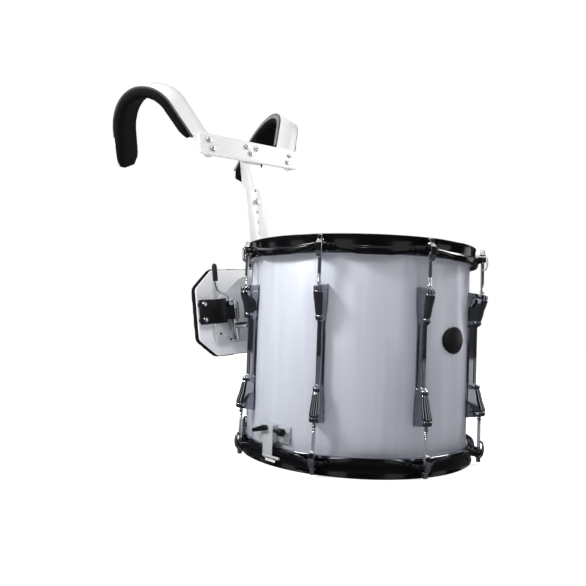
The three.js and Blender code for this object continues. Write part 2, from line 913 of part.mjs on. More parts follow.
function makeButt() {
  const inner = shellRadius + clearance;
  const face = inner + strainerPlate;
  const plate = curvedBlock(
    steps(2 * curveSteps, -buttHalfAngle, buttHalfAngle),
    inner,
    face,
    strainerLow,
    buttHigh,
    buttHigh,
  );
  const half = strapWidth / 2;
  const anvilFace = inner + strainerBlock;
  const lipLow = strapTop + clearance;
  const lipHigh = strapTop + buttLip;
  const lipFace = anvilFace + strapGap + buttLip;
  const anvil = block([-half, -anvilFace, strapTop - buttClampHeight], [half, -inner - clearance, lipHigh]);
  const lip = block([-half, -lipFace, lipLow], [half, -anvilFace + clearance, lipHigh]);
  const screws = [-1, 1].map((side) => screwHead((side * half) / 2, lipFace, (lipLow + lipHigh) / 2));
  return piece('butt_plate', join(plate, anvil, lip, ...screws).rotateZ(radians(strainerAngle + 180)), 'chrome');
}

// Straight wires between two end plates under the snare head.
function makeSnares() {
  const top = hoopRise - clearance - filmThickness - clearance;
  const middle = top - strandRadius;
  const strands = steps(strandCount - 1, -(strandCount - 1) / 2, (strandCount - 1) / 2).map((place) =>
    bar(
      strandRadius,
      point(place * strandPitch, -strandHalfLength, middle),
      point(place * strandPitch, strandHalfLength, middle),
      sides / 2,
    ),
  );
  const half = (strandCount * strandPitch) / 2;
  const inner = strandHalfLength - endPlateLength;
  const plates = [-1, 1].map((side) => {
    const ends = [side * inner, side * (strandHalfLength + strandDrop)].sort((a, b) => a - b);
    return block([-half, ends[0], top - endPlateThickness], [half, ends[1], top]);
  });
  return piece('snares', join(...plates, ...strands).rotateZ(radians(strainerAngle)), 'steel');
}

function plateOutline(spread) {
  const side = plateHalfWidth + spread;
  const top = plateTop + spread;
  const bottom = plateBottom - spread;
  const shoulder = side - plateCutWide;
  return rounded(
    [
      [-shoulder, bottom],
      [shoulder, bottom],
      [side, bottom + plateCutBottom],
      [side, top - plateCutTop],
      [shoulder, top],
      [-shoulder, top],
      [-side, top - plateCutTop],
      [-side, bottom + plateCutBottom],
    ],
    plateCorner,
  );
}

function makeBellyPlate() {
  return onCarrier('belly_plate', sheet(plateOutline(0), 0, plateSheet), 'whitePaint');
}

// The foam backs the plate, a little larger than it, with its rear edge rounded.
function makeBellyFoam() {
  const front = plateSheet + clearance;
  const back = front + foamThickness;
  const layers = [
    [front, foamOverhang - foamEdge / 4],
    [front + foamEdge / 4, foamOverhang],
    [back - foamEdge, foamOverhang],
    [back - foamEdge / 4, foamOverhang - foamEdge / 4],
    [back, foamOverhang - foamEdge],
  ];
  const loops = layers.map(([depth, spread]) =>
    plateOutline(spread).getPoints(curveSteps).slice(0, -1).map((p) => point(p.x, depth, p.y)),
  );
  return onCarrier('belly_foam', skin(loops), 'foam');
}

function mountOutline(inset) {
  const side = mountHalfWidth - inset;
  const top = mountTopHalfWidth - inset;
  return rounded(
    [
      [-side, mountBottom + inset],
      [side, mountBottom + inset],
      [side, mountShoulder],
      [top, mountTop - inset],
      [-top, mountTop - inset],
      [-side, mountShoulder],
    ],
    mountCorner - inset,
  );
}

// A shallow pan, its edges turned back to the belly plate, open at the top for the post.
function makeMountPlate() {
  const back = -clearance;
  const front = back - mountDepth;
  const inside = sheet(mountOutline(mountSheet), front + mountSheet, clearance);
  const half = postWidth / 2 + clearance;
  const mouth = block([-half, front + mountSheet, mountShoulder], [half, clearance, mountTop + mountSheet]);
  const screws = [
    [-1, -1],
    [1, -1],
    [-1, 0],
    [1, 0],
  ].map(([side, row]) => {
    const x = side * (mountHalfWidth - 2 * mountCorner + row * mountCorner);
    const z = mountBottom + mountCorner - row * mountCorner;
    return bar(screwRadius, point(x, front + screwProud, z), point(x, front - screwProud, z));
  });
  const pan = cut(sheet(mountOutline(0), front, back), inside, mouth);
  return onCarrier('mount_plate', join(pan, ...screws), 'whitePaint');
}

// The post's sheet lies between the pan and the belly plate; the stem runs up behind it.
// The yoke stands in line with the post, in front of the stem and of the arms' feet.
const postBack = -2 * clearance;
const postFront = postBack - postSheet;
const stemFront = postBack + clearance;
const stemBack = stemFront + postSheet;
const yokeFront = postFront;
const yokeBack = postBack;

function across(radius, x, z, from, to) {
  return bar(radius, point(x, from, z), point(x, to, z));
}

function makePost() {
  const half = postWidth / 2;
  const low = mountBottom + mountSheet + clearance;
  const outline = rounded(
    [
      [-half, low],
      [half, low],
      [half, postTop],
      [-half, postTop],
    ],
    postCorner,
  );
  const heights = [
    ...steps(holeCount - 1, holeLow, holeLow + holePitch * (holeCount - 1)),
    heightBoltHeight,
    holeTop,
  ];
  const holes = heights.map((z) => across(holeRadius, 0, z, postFront - postSheet, postBack + postSheet));
  return onCarrier('post', cut(sheet(outline, postFront, postBack), ...holes), 'whitePaint');
}

// The height bolt stands in the post's hole and clamps the slotted stem.
function makeHeightBolt() {
  const nut = stemBack + clearance;
  const bolt = join(
    across(boltShank, 0, heightBoltHeight, postFront - boltProud, nut + boltProud),
    across(boltHead, 0, heightBoltHeight, postFront - clearance - boltProud, postFront - clearance),
    across(boltHead, 0, heightBoltHeight, nut, nut + boltProud),
  );
  return onCarrier('height_bolt', bolt, 'chrome');
}

const centreBolts = [
  [-yokeBoltSpread, yokeBoltHigh],
  [yokeBoltSpread, yokeBoltHigh],
  [-yokeBoltShift, yokeBoltLow],
];

function makeStem() {
  const half = postWidth / 2;
  const outline = rounded(
    [
      [-half, stemBottom],
      [half, stemBottom],
      [half, stemTop],
      [-half, stemTop],
    ],
    postCorner,
  );
  const slotHalf = boltShank + clearance;
  const slotEnds = [-1, 1].map((side) => heightBoltHeight + side * stemSlotTravel);
  const slot = [
    block([-slotHalf, stemFront - postSheet, slotEnds[0]], [slotHalf, stemBack + postSheet, slotEnds[1]]),
    ...slotEnds.map((z) => across(slotHalf, 0, z, stemFront - postSheet, stemBack + postSheet)),
  ];
  const nuts = centreBolts.map(([x, z]) => across(nutRadius, x, z, stemBack - clearance, stemBack + boltProud));
  const flat = cut(sheet(outline, stemFront, stemBack), ...slot);
  return onCarrier('stem', join(flat, ...nuts), 'whitePaint');
}

function makeYoke() {
  const half = yokeHalfLength;
  const outline = rounded(
    [
      [-half, yokeBottom],
      [half, yokeBottom],
      [half, yokeTop],
      [-half, yokeTop],
    ],
    yokeCorner,
  );
  const lean = radians(armLeanAngle);
  const wingBolts = [0, 1].flatMap((row) => {
    const up = armFirstBolt - armBoltPitch / 2 + row * armBoltPitch;
    const out = armFootLateral + up * Math.sin(lean);
    return [-1, 1].map((side) => [side * out, armFootHeight + up * Math.cos(lean)]);
  });
  const heads = [...centreBolts, ...wingBolts].map(([x, z]) =>
    across(boltHead, x, z, yokeFront + clearance, yokeFront - boltProud),
  );
  return onCarrier('yoke', join(sheet(outline, yokeFront, yokeBack), ...heads), 'whitePaint');
}

// The middle line of a shoulder arm: foot, straight rise, widening turn over the shoulder, straight run.
// Each stop holds the place, the way along, and the distance walked from the start of the rise.
function armLine() {
  const stops = [];
  const place = new THREE.Vector2(0, 0);
  let walked = 0;
  let heading = radians(armStartAngle);
  const walk = (length, turn) => {
    heading += turn / 2;
    place.add(new THREE.Vector2(Math.sin(heading), Math.cos(heading)).multiplyScalar(length));
    heading += turn / 2;
    walked += length;
    stops.push({ back: place.x, up: place.y, heading, walked });
  };
  stops.push({ back: 0, up: 0, heading, walked });
  const riseSteps = 6;
  const runSteps = 4;
  for (let i = 0; i < riseSteps; i += 1) walk(armRise / riseSteps, 0);
  const turn = radians(armTurnAngle) / armSteps;
  for (let i = 0; i < armSteps; i += 1) {
    walk(turn * mix(armTurnStartRadius, armTurnEndRadius, (i + 0.5) / armSteps), turn);
  }
  for (let i = 0; i < runSteps; i += 1) walk(armRun / runSteps, 0);
  return stops;
}

// Frames along the arm on the carrier: centre, way across the strap and way out of the arch.
function armFrames() {
  const lean = radians(armLeanAngle);
  const footBack = stemFront + armSheet / 2;
  const place = (x, y, z, toe) => {
    const leaned = point(x * Math.cos(lean) + z * Math.sin(lean), y, -x * Math.sin(lean) + z * Math.cos(lean));
    return point(
      leaned.x * Math.cos(toe) + leaned.y * Math.sin(toe),
      -leaned.x * Math.sin(toe) + leaned.y * Math.cos(toe),
      leaned.z,
    );
  };
  const foot = point(-armFootLateral, footBack, armFootHeight);
  const frames = [-armFootLength, 0].map((up) => ({
    centre: place(0, 0, up, 0).multiply(point(-1, 1, 1)).add(foot),
    across: place(1, 0, 0, 0).multiply(point(-1, 1, 1)),
    out: point(0, -1, 0),
    walked: up,
  }));
  armLine().slice(1).forEach((stop) => {
    const share = THREE.MathUtils.smoothstep(stop.walked, 0, armBlend);
    const toe = radians(armToeAngle);
    const centre = place(0, stop.back, stop.up, toe);
    centre.y += mix(footBack, armFootBack, share);
    centre.multiply(point(-1, 1, 1)).add(point(-armFootLateral, 0, armFootHeight));
    const side = place(1, 0, 0, toe * share).multiply(point(-1, 1, 1));
    const out = place(0, -Math.cos(stop.heading), Math.sin(stop.heading), toe).multiply(point(-1, 1, 1));
    frames.push({ centre, across: side, out, walked: stop.walked });
  });
  return frames;
}

// A closed loop round one frame from [across, out] pairs.
function loopAt(frame, pairs) {
  return pairs.map(([a, o]) =>
    frame.centre.clone().addScaledVector(frame.across, a).addScaledVector(frame.out, o),
  );
}

function makeArm(frames) {
  const half = armWidth / 2;
  const thick = armSheet / 2;
  const last = frames[frames.length - 1].walked;
  const rounding = (frame) => {
    const toEnd = Math.min(frame.walked + armFootLength, last - frame.walked) / half;
    return mix(armEndShare, 1, Math.sqrt(THREE.MathUtils.clamp(toEnd, 0, 1)));
  };
  const loops = frames.map((frame) => {
    const wide = half * rounding(frame);
    const [left, right] = [-wide - armShift, wide - armShift];
    return loopAt(frame, [[left, -thick], [right, -thick], [right, thick], [left, thick]]);
  });
  const foot = frames[1];
  const rise = foot.centre.clone().sub(frames[0].centre).normalize();
  const nuts = [0, 1].map((row) => {
    const up = armFirstBolt - armBoltPitch / 2 + row * armBoltPitch;
    const middle = foot.centre.clone().addScaledVector(rise, up);
    const near = middle.clone().addScaledVector(foot.out, -thick / 2);
    const far = middle.clone().addScaledVector(foot.out, -thick - boltProud);
    return bar(nutRadius, near, far);
  });
  return join(skin(loops), ...nuts);
}

// The pad's section: [share of its width from the outer side, share of its depth].
const padSection = [
  [0.96, 0],
  [0.04, 0],
  [0, 0.2],
  [0, 0.76],
  [0.07, 0.96],
  [0.25, 1],
  [0.75, 1],
  [0.93, 0.96],
  [1, 0.76],
  [1, 0.2],
];

// The pad lies under the arm from its start to its rounded rear end, and stands out beside it.
function makePad(frames) {
  const half = armWidth / 2;
  const top = -armSheet / 2 - clearance;
  const inside = frames.filter((frame) => frame.walked >= padStart);
  const first = inside[0].walked;
  const last = inside[inside.length - 1].walked;
  const loops = inside.map((frame) => {
    const along = (frame.walked - first) / (last - first);
    const toEnd = Math.min((frame.walked - first) / padThickness + padEndShare, (last - frame.walked) / half);
    const share = Math.sqrt(THREE.MathUtils.clamp(toEnd, 0, 1));
    const narrow = mix(armEndShare, 1, share);
    const outer = (half + padOuterSpare) * narrow - armShift;
    const inner = -(half + mix(padInnerSpare, padRearSpare, along)) * narrow - armShift;
    const deep = padThickness * mix(padEndDepthShare, 1, share);
    return loopAt(frame, padSection.map(([side, depth]) => [mix(outer, inner, side), top - deep * depth]));
  });
  return skin(loops);
}

function pair(name, geometry, look) {
  return [onCarrier(`${name}_right`, geometry, look), onCarrier(`${name}_left`, mirrored(geometry), look)];
}

function makeShoulders() {
  const frames = armFrames();
  return [...pair('shoulder_arm', makeArm(frames), 'whitePaint'), ...pair('shoulder_pad', makePad(frames), 'foam')];
}

// A bracket of folded sheet on two bushes, with the jaw that holds the hanger's rod.
function makeBracket() {
  const face = bracketBack - bracketSheet;
  const outline = rounded(
    [
      [-bracketOuter, bracketBottom],
      [-tabInner, bracketBottom],
      [-tabInner, bracketTop],
      [-bracketOuter, bracketTop],
    ],
    bracketSheet / 2,
  );
  const flat = sheet(outline, face, bracketBack);
  const tab = block(
    [-tabInner - bracketSheet, bracketFront, bracketBottom],
    [-tabInner, bracketBack, bracketTop],
  );
  const hold = hangerRadius + bracketSheet;
  const jaw = block([-tabInner - clearance, jawFront, jawLow], [hold - hangerLateral, bracketBack, jawHigh]);
  const mouth = block(
    [-jawInner, jawFront - bracketSheet, jawLow - bracketSheet],
    [hold + bracketSheet - hangerLateral, hangerBack, jawHigh + bracketSheet],
  );
  const bore = bar(
    hangerRadius + clearance,
    point(-hangerLateral, hangerBack, jawLow - bracketSheet),
    point(-hangerLateral, hangerBack, jawHigh + bracketSheet),
    fineSides,
  );
  const bolts = [bracketBoltHigh, bracketBoltLow].flatMap((z) => [
    across(bushRadius, -bracketBoltLateral, z, face + bracketSheet / 2, -clearance),
    across(boltHead, -bracketBoltLateral, z, face - boltProud, face + bracketSheet / 2),
  ]);
  return join(flat, tab, cut(jaw, mouth, bore), ...bolts);
}

const hookFront = hangerBack - hookReach;

// A hanger: upright rod with a domed top, arm towards the drum, and its turned-up tip.
function makeHanger() {
  const dome = hangerRadius / 2;
  const rod = turned(
    [
      [0, hangerBottom],
      [hangerRadius, hangerBottom],
      [hangerRadius, hangerTop - dome],
      [hangerRadius * 0.8, hangerTop - dome / 3],
      [hangerRadius * 0.45, hangerTop],
      [0, hangerTop],
    ],
    fineSides,
  ).translate(-hangerLateral, hangerBack, 0);
  const x = -hangerLateral;
  const bend = 0.3 * hookBend;
  const arm = bentBar(
    armRadius,
    [
      point(x, hangerBack, armHeight),
      point(x, hookFront + 2 * hookBend, armHeight),
      point(x, hookFront + hookBend, armHeight),
      point(x, hookFront + bend, armHeight + bend),
      point(x, hookFront, armHeight + hookBend),
    ],
    sides,
    fineSides,
  );
  const tip = turned([
    [0, 0],
    [tipRadius, 0],
    [tipRadius, tipRise - tipRadius / 2],
    [tipRadius / 2, tipRise],
    [0, tipRise],
  ]).translate(x, hookFront, armHeight);
  return join(rod, arm, tip);
}

const handlePlane = bracketFront - clearance - handleRodRadius - clearance;

function makeHandle() {
  const hub = across(
    handleHubRadius,
    -handleHubLateral,
    handleHubHeight,
    jawFront - clearance,
    handlePlane - handleHubProud / 2,
  );
  const rod = bentBar(
    handleRodRadius,
    [
      point(-handleHubLateral, handlePlane, handleHubHeight),
      point(-handleHubLateral - handleHubRadius, handlePlane, handleBend),
      point(-handleSide + handleHubRadius, handlePlane, handleTurnHeight - handleHubRadius),
      point(-handleSide, handlePlane, handleTurnHeight + handleHubRadius),
    ],
    sides,
    fineSides,
  );
  const bend = handleTurnHeight + handleHubRadius / 2;
  const upper = bar(handleRodRadius, point(-handleSide, handlePlane, bend), point(-handleSide, handlePlane, handleTop));
  return join(hub, rod, upper);
}

function makeGrip() {
  const inner = handleRodRadius + clearance;
  const end = gripTop + gripRadius / 2;
  return turned([
    [inner, gripBottom],
    [gripRadius * 0.86, gripBottom],
    [gripRadius, gripBottom + gripRadius / 2],
    [gripRadius, gripTop - gripRadius / 2],
    [gripRadius * 0.6, end - gripRadius / 4],
    [0, end],
    [0, handleTop + clearance],
    [inner, handleTop + clearance],
    [inner, gripBottom],
  ]).translate(-handleSide, handlePlane, 0);
}

// The receivers stand on the shell where the hangers' tips come up.
function makeReceiver(name, side, drop) {
  const at = (height) => point(side * hangerLateral, hookFront, height - drop).applyMatrix4(carrier);
  const root = at(armHeight + armRadius);
  const angle = THREE.MathUtils.radToDeg(Math.atan2(root.x, -root.y));
  const low = root.z + receiverFloor + clearance;
  const high = low + receiverHeight;
  const inner = shellRadius + clearance;
  const body = join(
    block([-receiverHalfWidth, -receiverOuter, low], [receiverHalfWidth, -inner, high]),
    block(
      [-receiverHalfWidth, -inner - receiverFlange, low],
      [receiverHalfWidth, -inner, high + receiverFlangeSpread],
    ),
    screwHead(0, inner + receiverFlange, high + receiverFlangeSpread / 2),
  ).rotateZ(radians(angle));
  const bore = bar(tipRadius + receiverBoreSpare, at(armHeight), at(armHeight + tipRise + 2 * clearance), fineSides);
  return piece(name, cut(body, bore), 'chrome');
}

function makeHanging() {
  const hanger = makeHanger();
  const lowered = mirrored(hanger).translate(0, 0, -leftHangerDrop);
  return [
    ...pair('bracket', makeBracket(), 'blackPaint'),
    onCarrier('hanger_right', hanger, 'chrome'),
    onCarrier('hanger_left', lowered, 'chrome'),
    ...pair('clamp_handle', makeHandle(), 'chrome'),
    ...pair('handle_grip', makeGrip(), 'rubber'),
    makeReceiver('receiver_right', -1, 0),
    makeReceiver('receiver_left', 1, leftHangerDrop),
  ];
}

function makeDrum() {
  const strainerFace = shellRadius + clearance + strainerBlock;
  const buttFace = shellRadius + clearance + strainerBlock;
  return [
    makeShell(),
    makeGrommet(),
    makeBadge(),
    makeHead(true),
    makeHead(false),
    makeHoop(true),
    makeHoop(false),
    ...makeTensioning(),
    makeStrainer(),
    makeLever(),
    makeKnob(),
    makeStrap('strainer_strap', strainerAngle + strapShiftAngle, strainerFace, true),
    makeButt(),
    makeStrap('butt_strap', strainerAngle + 180, buttFace, false),
    makeSnares(),
  ];
}

function makeCarrier() {
  return [
    makeBellyPlate(),
    makeBellyFoam(),
    makeMountPlate(),
    makePost(),
    makeHeightBolt(),
    makeStem(),
    makeYoke(),
    ...makeShoulders(),
    ...makeHanging(),
  ];
}

// The whole model stands on the ground with its middle over the origin.
function makeAll() {
  const pieces = [...makeDrum(), ...makeCarrier()];
  const all = new THREE.Group();
  pieces.forEach((mesh) => all.add(mesh));
  const bounds = new THREE.Box3().setFromObject(all, true);
  const middle = bounds.getCenter(new THREE.Vector3());
  pieces.forEach((mesh) => mesh.geometry.translate(-middle.x, -middle.y, -bounds.min.z));
  return all;
}

export default makeAll();
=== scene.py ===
import json
import math

import bmesh
import bpy
from mathutils import Matrix, Vector

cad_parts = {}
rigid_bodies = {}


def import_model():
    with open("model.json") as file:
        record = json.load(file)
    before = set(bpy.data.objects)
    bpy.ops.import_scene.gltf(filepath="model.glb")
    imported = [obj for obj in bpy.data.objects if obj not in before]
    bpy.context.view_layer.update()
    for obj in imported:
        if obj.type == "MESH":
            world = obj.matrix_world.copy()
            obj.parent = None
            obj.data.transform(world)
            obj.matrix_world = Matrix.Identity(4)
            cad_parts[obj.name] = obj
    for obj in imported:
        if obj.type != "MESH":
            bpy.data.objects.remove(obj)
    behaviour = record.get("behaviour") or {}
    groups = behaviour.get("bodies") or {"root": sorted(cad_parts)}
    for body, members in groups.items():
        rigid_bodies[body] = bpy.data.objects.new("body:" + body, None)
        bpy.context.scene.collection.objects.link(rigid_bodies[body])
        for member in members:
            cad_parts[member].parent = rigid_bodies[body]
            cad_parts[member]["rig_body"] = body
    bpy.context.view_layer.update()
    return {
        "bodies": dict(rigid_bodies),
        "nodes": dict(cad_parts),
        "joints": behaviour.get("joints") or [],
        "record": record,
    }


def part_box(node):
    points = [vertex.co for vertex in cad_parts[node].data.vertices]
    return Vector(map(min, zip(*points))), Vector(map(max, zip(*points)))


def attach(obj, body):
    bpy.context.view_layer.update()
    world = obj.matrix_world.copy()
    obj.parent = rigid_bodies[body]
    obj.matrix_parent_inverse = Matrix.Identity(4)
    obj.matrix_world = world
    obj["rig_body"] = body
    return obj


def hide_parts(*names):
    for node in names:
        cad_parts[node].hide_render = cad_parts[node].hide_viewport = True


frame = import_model()
record = frame["record"]
nodes = frame["nodes"]
slotOf = {entry["node"]: entry["material_slot"] for entry in record["subparts"]}
mm = 0.001
print("frame loaded:", len(nodes), "nodes")

# Where the drum's axis stands in the frame.
shellLow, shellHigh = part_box("shell")
axis = Vector(((shellLow.x + shellHigh.x) / 2, (shellLow.y + shellHigh.y) / 2, 0))

# The carrier's own frame, in millimetres from the drum's axis.
lean = [math.tan(math.radians(a)) for a in (5.08, 5.32)]
carrierUp = Vector((-lean[0], lean[1], 1)).normalized()
carrierAcross = (Vector((1, 0, 0)) - carrierUp * carrierUp.x).normalized()
carrierBack = carrierUp.cross(carrierAcross)
carrierStart = Vector((0, 229.5, 219.9))


def bodyOf(node):
    return nodes[node]["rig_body"]


def onDrum(point):
    return Vector(point) * mm + axis


def onCarrier(point):
    x, y, z = point
    return (carrierStart + carrierAcross * x + carrierBack * y + carrierUp * z) * mm + axis


def around(angle, radius, height):
    turn = math.radians(angle)
    return Vector((radius * math.sin(turn), -radius * math.cos(turn), height))


def spread(count, first, last):
    return [first + (last - first) * i / (count - 1) for i in range(count)]


def mix(a, b, share):
    return a + (b - a) * share


def smooth(value, low, high):
    share = min(max((value - low) / (high - low), 0), 1)
    return share * share * (3 - 2 * share)


# Mesh making.

def makeMesh(name, points, faces, soft=True):
    mesh = bpy.data.meshes.new(name)
    mesh.from_pydata([tuple(p) for p in points], [], faces)
    work = bmesh.new()
    work.from_mesh(mesh)
    bmesh.ops.remove_doubles(work, verts=work.verts, dist=0.000002)
    bmesh.ops.recalc_face_normals(work, faces=work.faces)
    work.to_mesh(mesh)
    work.free()
    for face in mesh.polygons:
        face.use_smooth = soft
    piece = bpy.data.objects.new(name, mesh)
    bpy.context.scene.collection.objects.link(piece)
    return piece


def skin(name, loops, roundTrip=False, place=onDrum):
    size = len(loops[0])
    points = [place(p) for loop in loops for p in loop]
    faces = []
    rows = len(loops) if roundTrip else len(loops) - 1
    for i in range(rows):
        here, there = i * size, (i + 1) % len(loops) * size
        for j in range(size):
            k = (j + 1) % size
            faces.append((here + j, here + k, there + k, there + j))
    if not roundTrip:
        last = (len(loops) - 1) * size
        faces.append(tuple(range(size)))
        faces.append(tuple(range(last, last + size)))
    return makeMesh(name, points, faces)


def ring(name, profileAt, count, place=onDrum):
    loops = [[around(a, r, z) for r, z in profileAt(a)] for a in spread(count + 1, 0, 360)[:-1]]
    return skin(name, loops, True, place)


def joinPieces(name, pieces):
    for other in bpy.context.selected_objects:
        other.select_set(False)
    for piece in pieces:
        piece.select_set(True)
    bpy.context.view_layer.objects.active = pieces[0]
    bpy.ops.object.join()
    pieces[0].name = name
    pieces[0].select_set(False)
    return pieces[0]


def bevel(piece, width, segments=2, angle=32):
    edge = piece.modifiers.new("edge", "BEVEL")
    edge.width = width * mm
    edge.segments = segments
    edge.limit_method = "ANGLE"
    edge.angle_limit = math.radians(angle)
    edge.harden_normals = True
    return piece


def placed(piece, material, *replaced, body=None, slot=None):
    piece.data.materials.clear()
    piece.data.materials.append(material)
    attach(piece, body or bodyOf(replaced[0]))
    slot or slotOf[replaced[0]]
    if replaced:
        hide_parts(*replaced)
    return piece


# A copy of a CAD node with broken edges; the node itself stays as it is.
def dressed(node, material, width=0.5, segments=2):
    piece = bpy.data.objects.new("fine_" + node, nodes[node].data.copy())
    bpy.context.scene.collection.objects.link(piece)
    work = bmesh.new()
    work.from_mesh(piece.data)
    bmesh.ops.remove_doubles(work, verts=work.verts, dist=0.00001)
    bmesh.ops.dissolve_limit(work, angle_limit=math.radians(1), verts=work.verts, edges=work.edges)
    work.to_mesh(piece.data)
    work.free()
    for face in piece.data.polygons:
        face.use_smooth = True
    bevel(piece, width, segments)
    return placed(piece, material, node)


# A round body along a path of points with a radius at each.
def tube(name, points, radii, sides=20, place=onCarrier):
    points = [Vector(p) for p in points]
    loops = []
    side = None
    for i, point in enumerate(points):
        way = (points[min(i + 1, len(points) - 1)] - points[max(i - 1, 0)]).normalized()
        if side is None:
            side = way.orthogonal().normalized()
        side = (side - way * side.dot(way)).normalized()
        other = way.cross(side)
        radius = radii[i] if isinstance(radii, (list, tuple)) else radii
        turns = spread(sides + 1, 0, 2 * math.pi)[:-1]
        loops.append([point + (side * math.cos(t) + other * math.sin(t)) * radius for t in turns])
    return skin(name, loops, False, place)


def curvePoints(points, pieces=8):
    points = [Vector(p) for p in points]
    ends = [2 * points[0] - points[1]] + points + [2 * points[-1] - points[-2]]
    out = []
    for i in range(1, len(ends) - 2):
        a, b, c, d = ends[i - 1:i + 3]
        for t in spread(pieces + 1, 0, 1)[:-1]:
            out.append(0.5 * (2 * b + (c - a) * t + (2 * a - 5 * b + 4 * c - d) * t * t + (3 * b - a - 3 * c + d) * t ** 3))
    return out + [points[-1]]


# Shared surface effects. Each group gives only masks, values and colours.

def newGroup(name, inputs, outputs):
    group = bpy.data.node_groups.new(name, "ShaderNodeTree")
    for label, kind, value in inputs:
        made = group.interface.new_socket(label, in_out="INPUT", socket_type=kind)
        made.default_value = value
    for label, kind in outputs:
        group.interface.new_socket(label, in_out="OUTPUT", socket_type=kind)
    return group, group.nodes.new("NodeGroupInput"), group.nodes.new("NodeGroupOutput")


def addNode(tree, kind, **values):
    node = tree.nodes.new("ShaderNode" + kind)
    for key, value in values.items():
        if hasattr(node, key):
            setattr(node, key, value)
        else:
            node.inputs[key.replace("_", " ")].default_value = value
    return node


def mathNode(tree, operation, first, second=None):
    node = addNode(tree, "Math", operation=operation)
    for i, source in enumerate((first, second)):
        if source is None:
            continue
        if isinstance(source, (int, float)):
            node.inputs[i].default_value = source
        else:
            tree.links.new(source, node.inputs[i])
    return node.outputs[0]


def mapRange(tree, source, low, high, first=0, second=1):
    node = addNode(tree, "MapRange")
    node.interpolation_type = "SMOOTHSTEP"
    tree.links.new(source, node.inputs["Value"])
    for label, value in (("From Min", low), ("From Max", high), ("To Min", first), ("To Max", second)):
        node.inputs[label].default_value = value
    return node.outputs["Result"]


def objectPlace(tree, scale=(1, 1, 1)):
    place = addNode(tree, "TexCoord")
    shape = addNode(tree, "Mapping")
    shape.inputs["Scale"].default_value = scale
    tree.links.new(place.outputs["Object"], shape.inputs["Vector"])
    return shape.outputs["Vector"]


def noise(tree, vector, scale, detail=3, rough=0.55):
    node = addNode(tree, "TexNoise")
    node.inputs["Detail"].default_value = detail
    node.inputs["Roughness"].default_value = rough
    if isinstance(scale, (int, float)):
        node.inputs["Scale"].default_value = scale
    else:
        tree.links.new(scale, node.inputs["Scale"])
    tree.links.new(vector, node.inputs["Vector"])
    return node.outputs["Fac"]


# Where corners are rubbed, and where the pan's edges take painted shade: a mask from the edge of the form, broken up by
# noise.
def makeEdgeWearAndShade():
    group, start, end = newGroup(
        "edge wear and shade",
        [("Width", "NodeSocketFloat", 0.0008), ("Amount", "NodeSocketFloat", 0.6)],
        [("Mask", "NodeSocketFloat")],
    )
    soft = addNode(group, "Bevel")
    soft.samples = 4
    group.links.new(start.outputs["Width"], soft.inputs["Radius"])
    flat = addNode(group, "NewGeometry")
    dot = addNode(group, "VectorMath", operation="DOT_PRODUCT")
    group.links.new(soft.outputs["Normal"], dot.inputs[0])
    group.links.new(flat.outputs["Normal"], dot.inputs[1])
    bent = mapRange(group, dot.outputs["Value"], 0.995, 0.9)
    broken = mapRange(group, noise(group, objectPlace(group), 260, 5, 0.65), 0.42, 0.62)
    edgeWearAndShade = mathNode(group, "MULTIPLY", bent, broken)
    group.links.new(mathNode(group, "MULTIPLY", edgeWearAndShade, start.outputs["Amount"]), end.inputs["Mask"])
    return group


# Fine hairlines in two directions from handling.
def makeHairlines():
    group, start, end = newGroup(
        "hairlines",
        [("Spread", "NodeSocketFloat", 0.5)],
        [("Mask", "NodeSocketFloat")],
    )
    masks = []
    for scale, size in (((1, 14, 1), 60), ((9, 1, 3), 75), ((4, 4, 0.4), 55)):
        lines = noise(group, objectPlace(group, scale), size, 4, 0.7)
        masks.append(mapRange(group, lines, 0.63, 0.72))
    both = mathNode(group, "MAXIMUM", mathNode(group, "MAXIMUM", masks[0], masks[1]), masks[2])
    group.links.new(mathNode(group, "MULTIPLY", both, start.outputs["Spread"]), end.inputs["Mask"])
    return group


# Broad faint clouds of dust and hand marks.
def makeHandMarks():
    group, start, end = newGroup(
        "hand marks",
        [("Size", "NodeSocketFloat", 22.0), ("Amount", "NodeSocketFloat", 0.5)],
        [("Mask", "NodeSocketFloat")],
    )
    cloud = mapRange(group, noise(group, objectPlace(group), start.outputs["Size"], 5, 0.6), 0.35, 0.75)
    group.links.new(mathNode(group, "MULTIPLY", cloud, start.outputs["Amount"]), end.inputs["Mask"])
    return group


# The fine pebbled skin of powder paint, of open foam and of moulded plastic.
def makePebbles():
    group, start, end = newGroup(
        "pebbles",
        [("Size", "NodeSocketFloat", 900.0)],
        [("Height", "NodeSocketFloat"), ("Pits", "NodeSocketFloat")],
    )
    cells = addNode(group, "TexVoronoi")
    cells.feature = "SMOOTH_F1"
    group.links.new(start.outputs["Size"], cells.inputs["Scale"])
    group.links.new(objectPlace(group), cells.inputs["Vector"])
    group.links.new(cells.outputs["Distance"], end.inputs["Height"])
    group.links.new(mapRange(group, cells.outputs["Distance"], 0.25, 0.6), end.inputs["Pits"])
    return group


edgeWearAndShadeGroup = makeEdgeWearAndShade()
hairlines = makeHairlines()
handMarks = makeHandMarks()
pebbles = makePebbles()


def useGroup(tree, group, **values):
    node = addNode(tree, "Group")
    node.node_tree = group
    for key, value in values.items():
        node.inputs[key].default_value = value
    return node


def blendColour(tree, mask, first, second):
    node = addNode(tree, "Mix")
    node.data_type = "RGBA"
    tree.links.new(mask, node.inputs["Factor"])
    for label, value in (("A", first), ("B", second)):
        socket = [s for s in node.inputs if s.name == label and s.type == "RGBA"][0]
        if isinstance(value, tuple):
            socket.default_value = (*value, 1)
        else:
            tree.links.new(value, socket)
    return [s for s in node.outputs if s.type == "RGBA"][0]


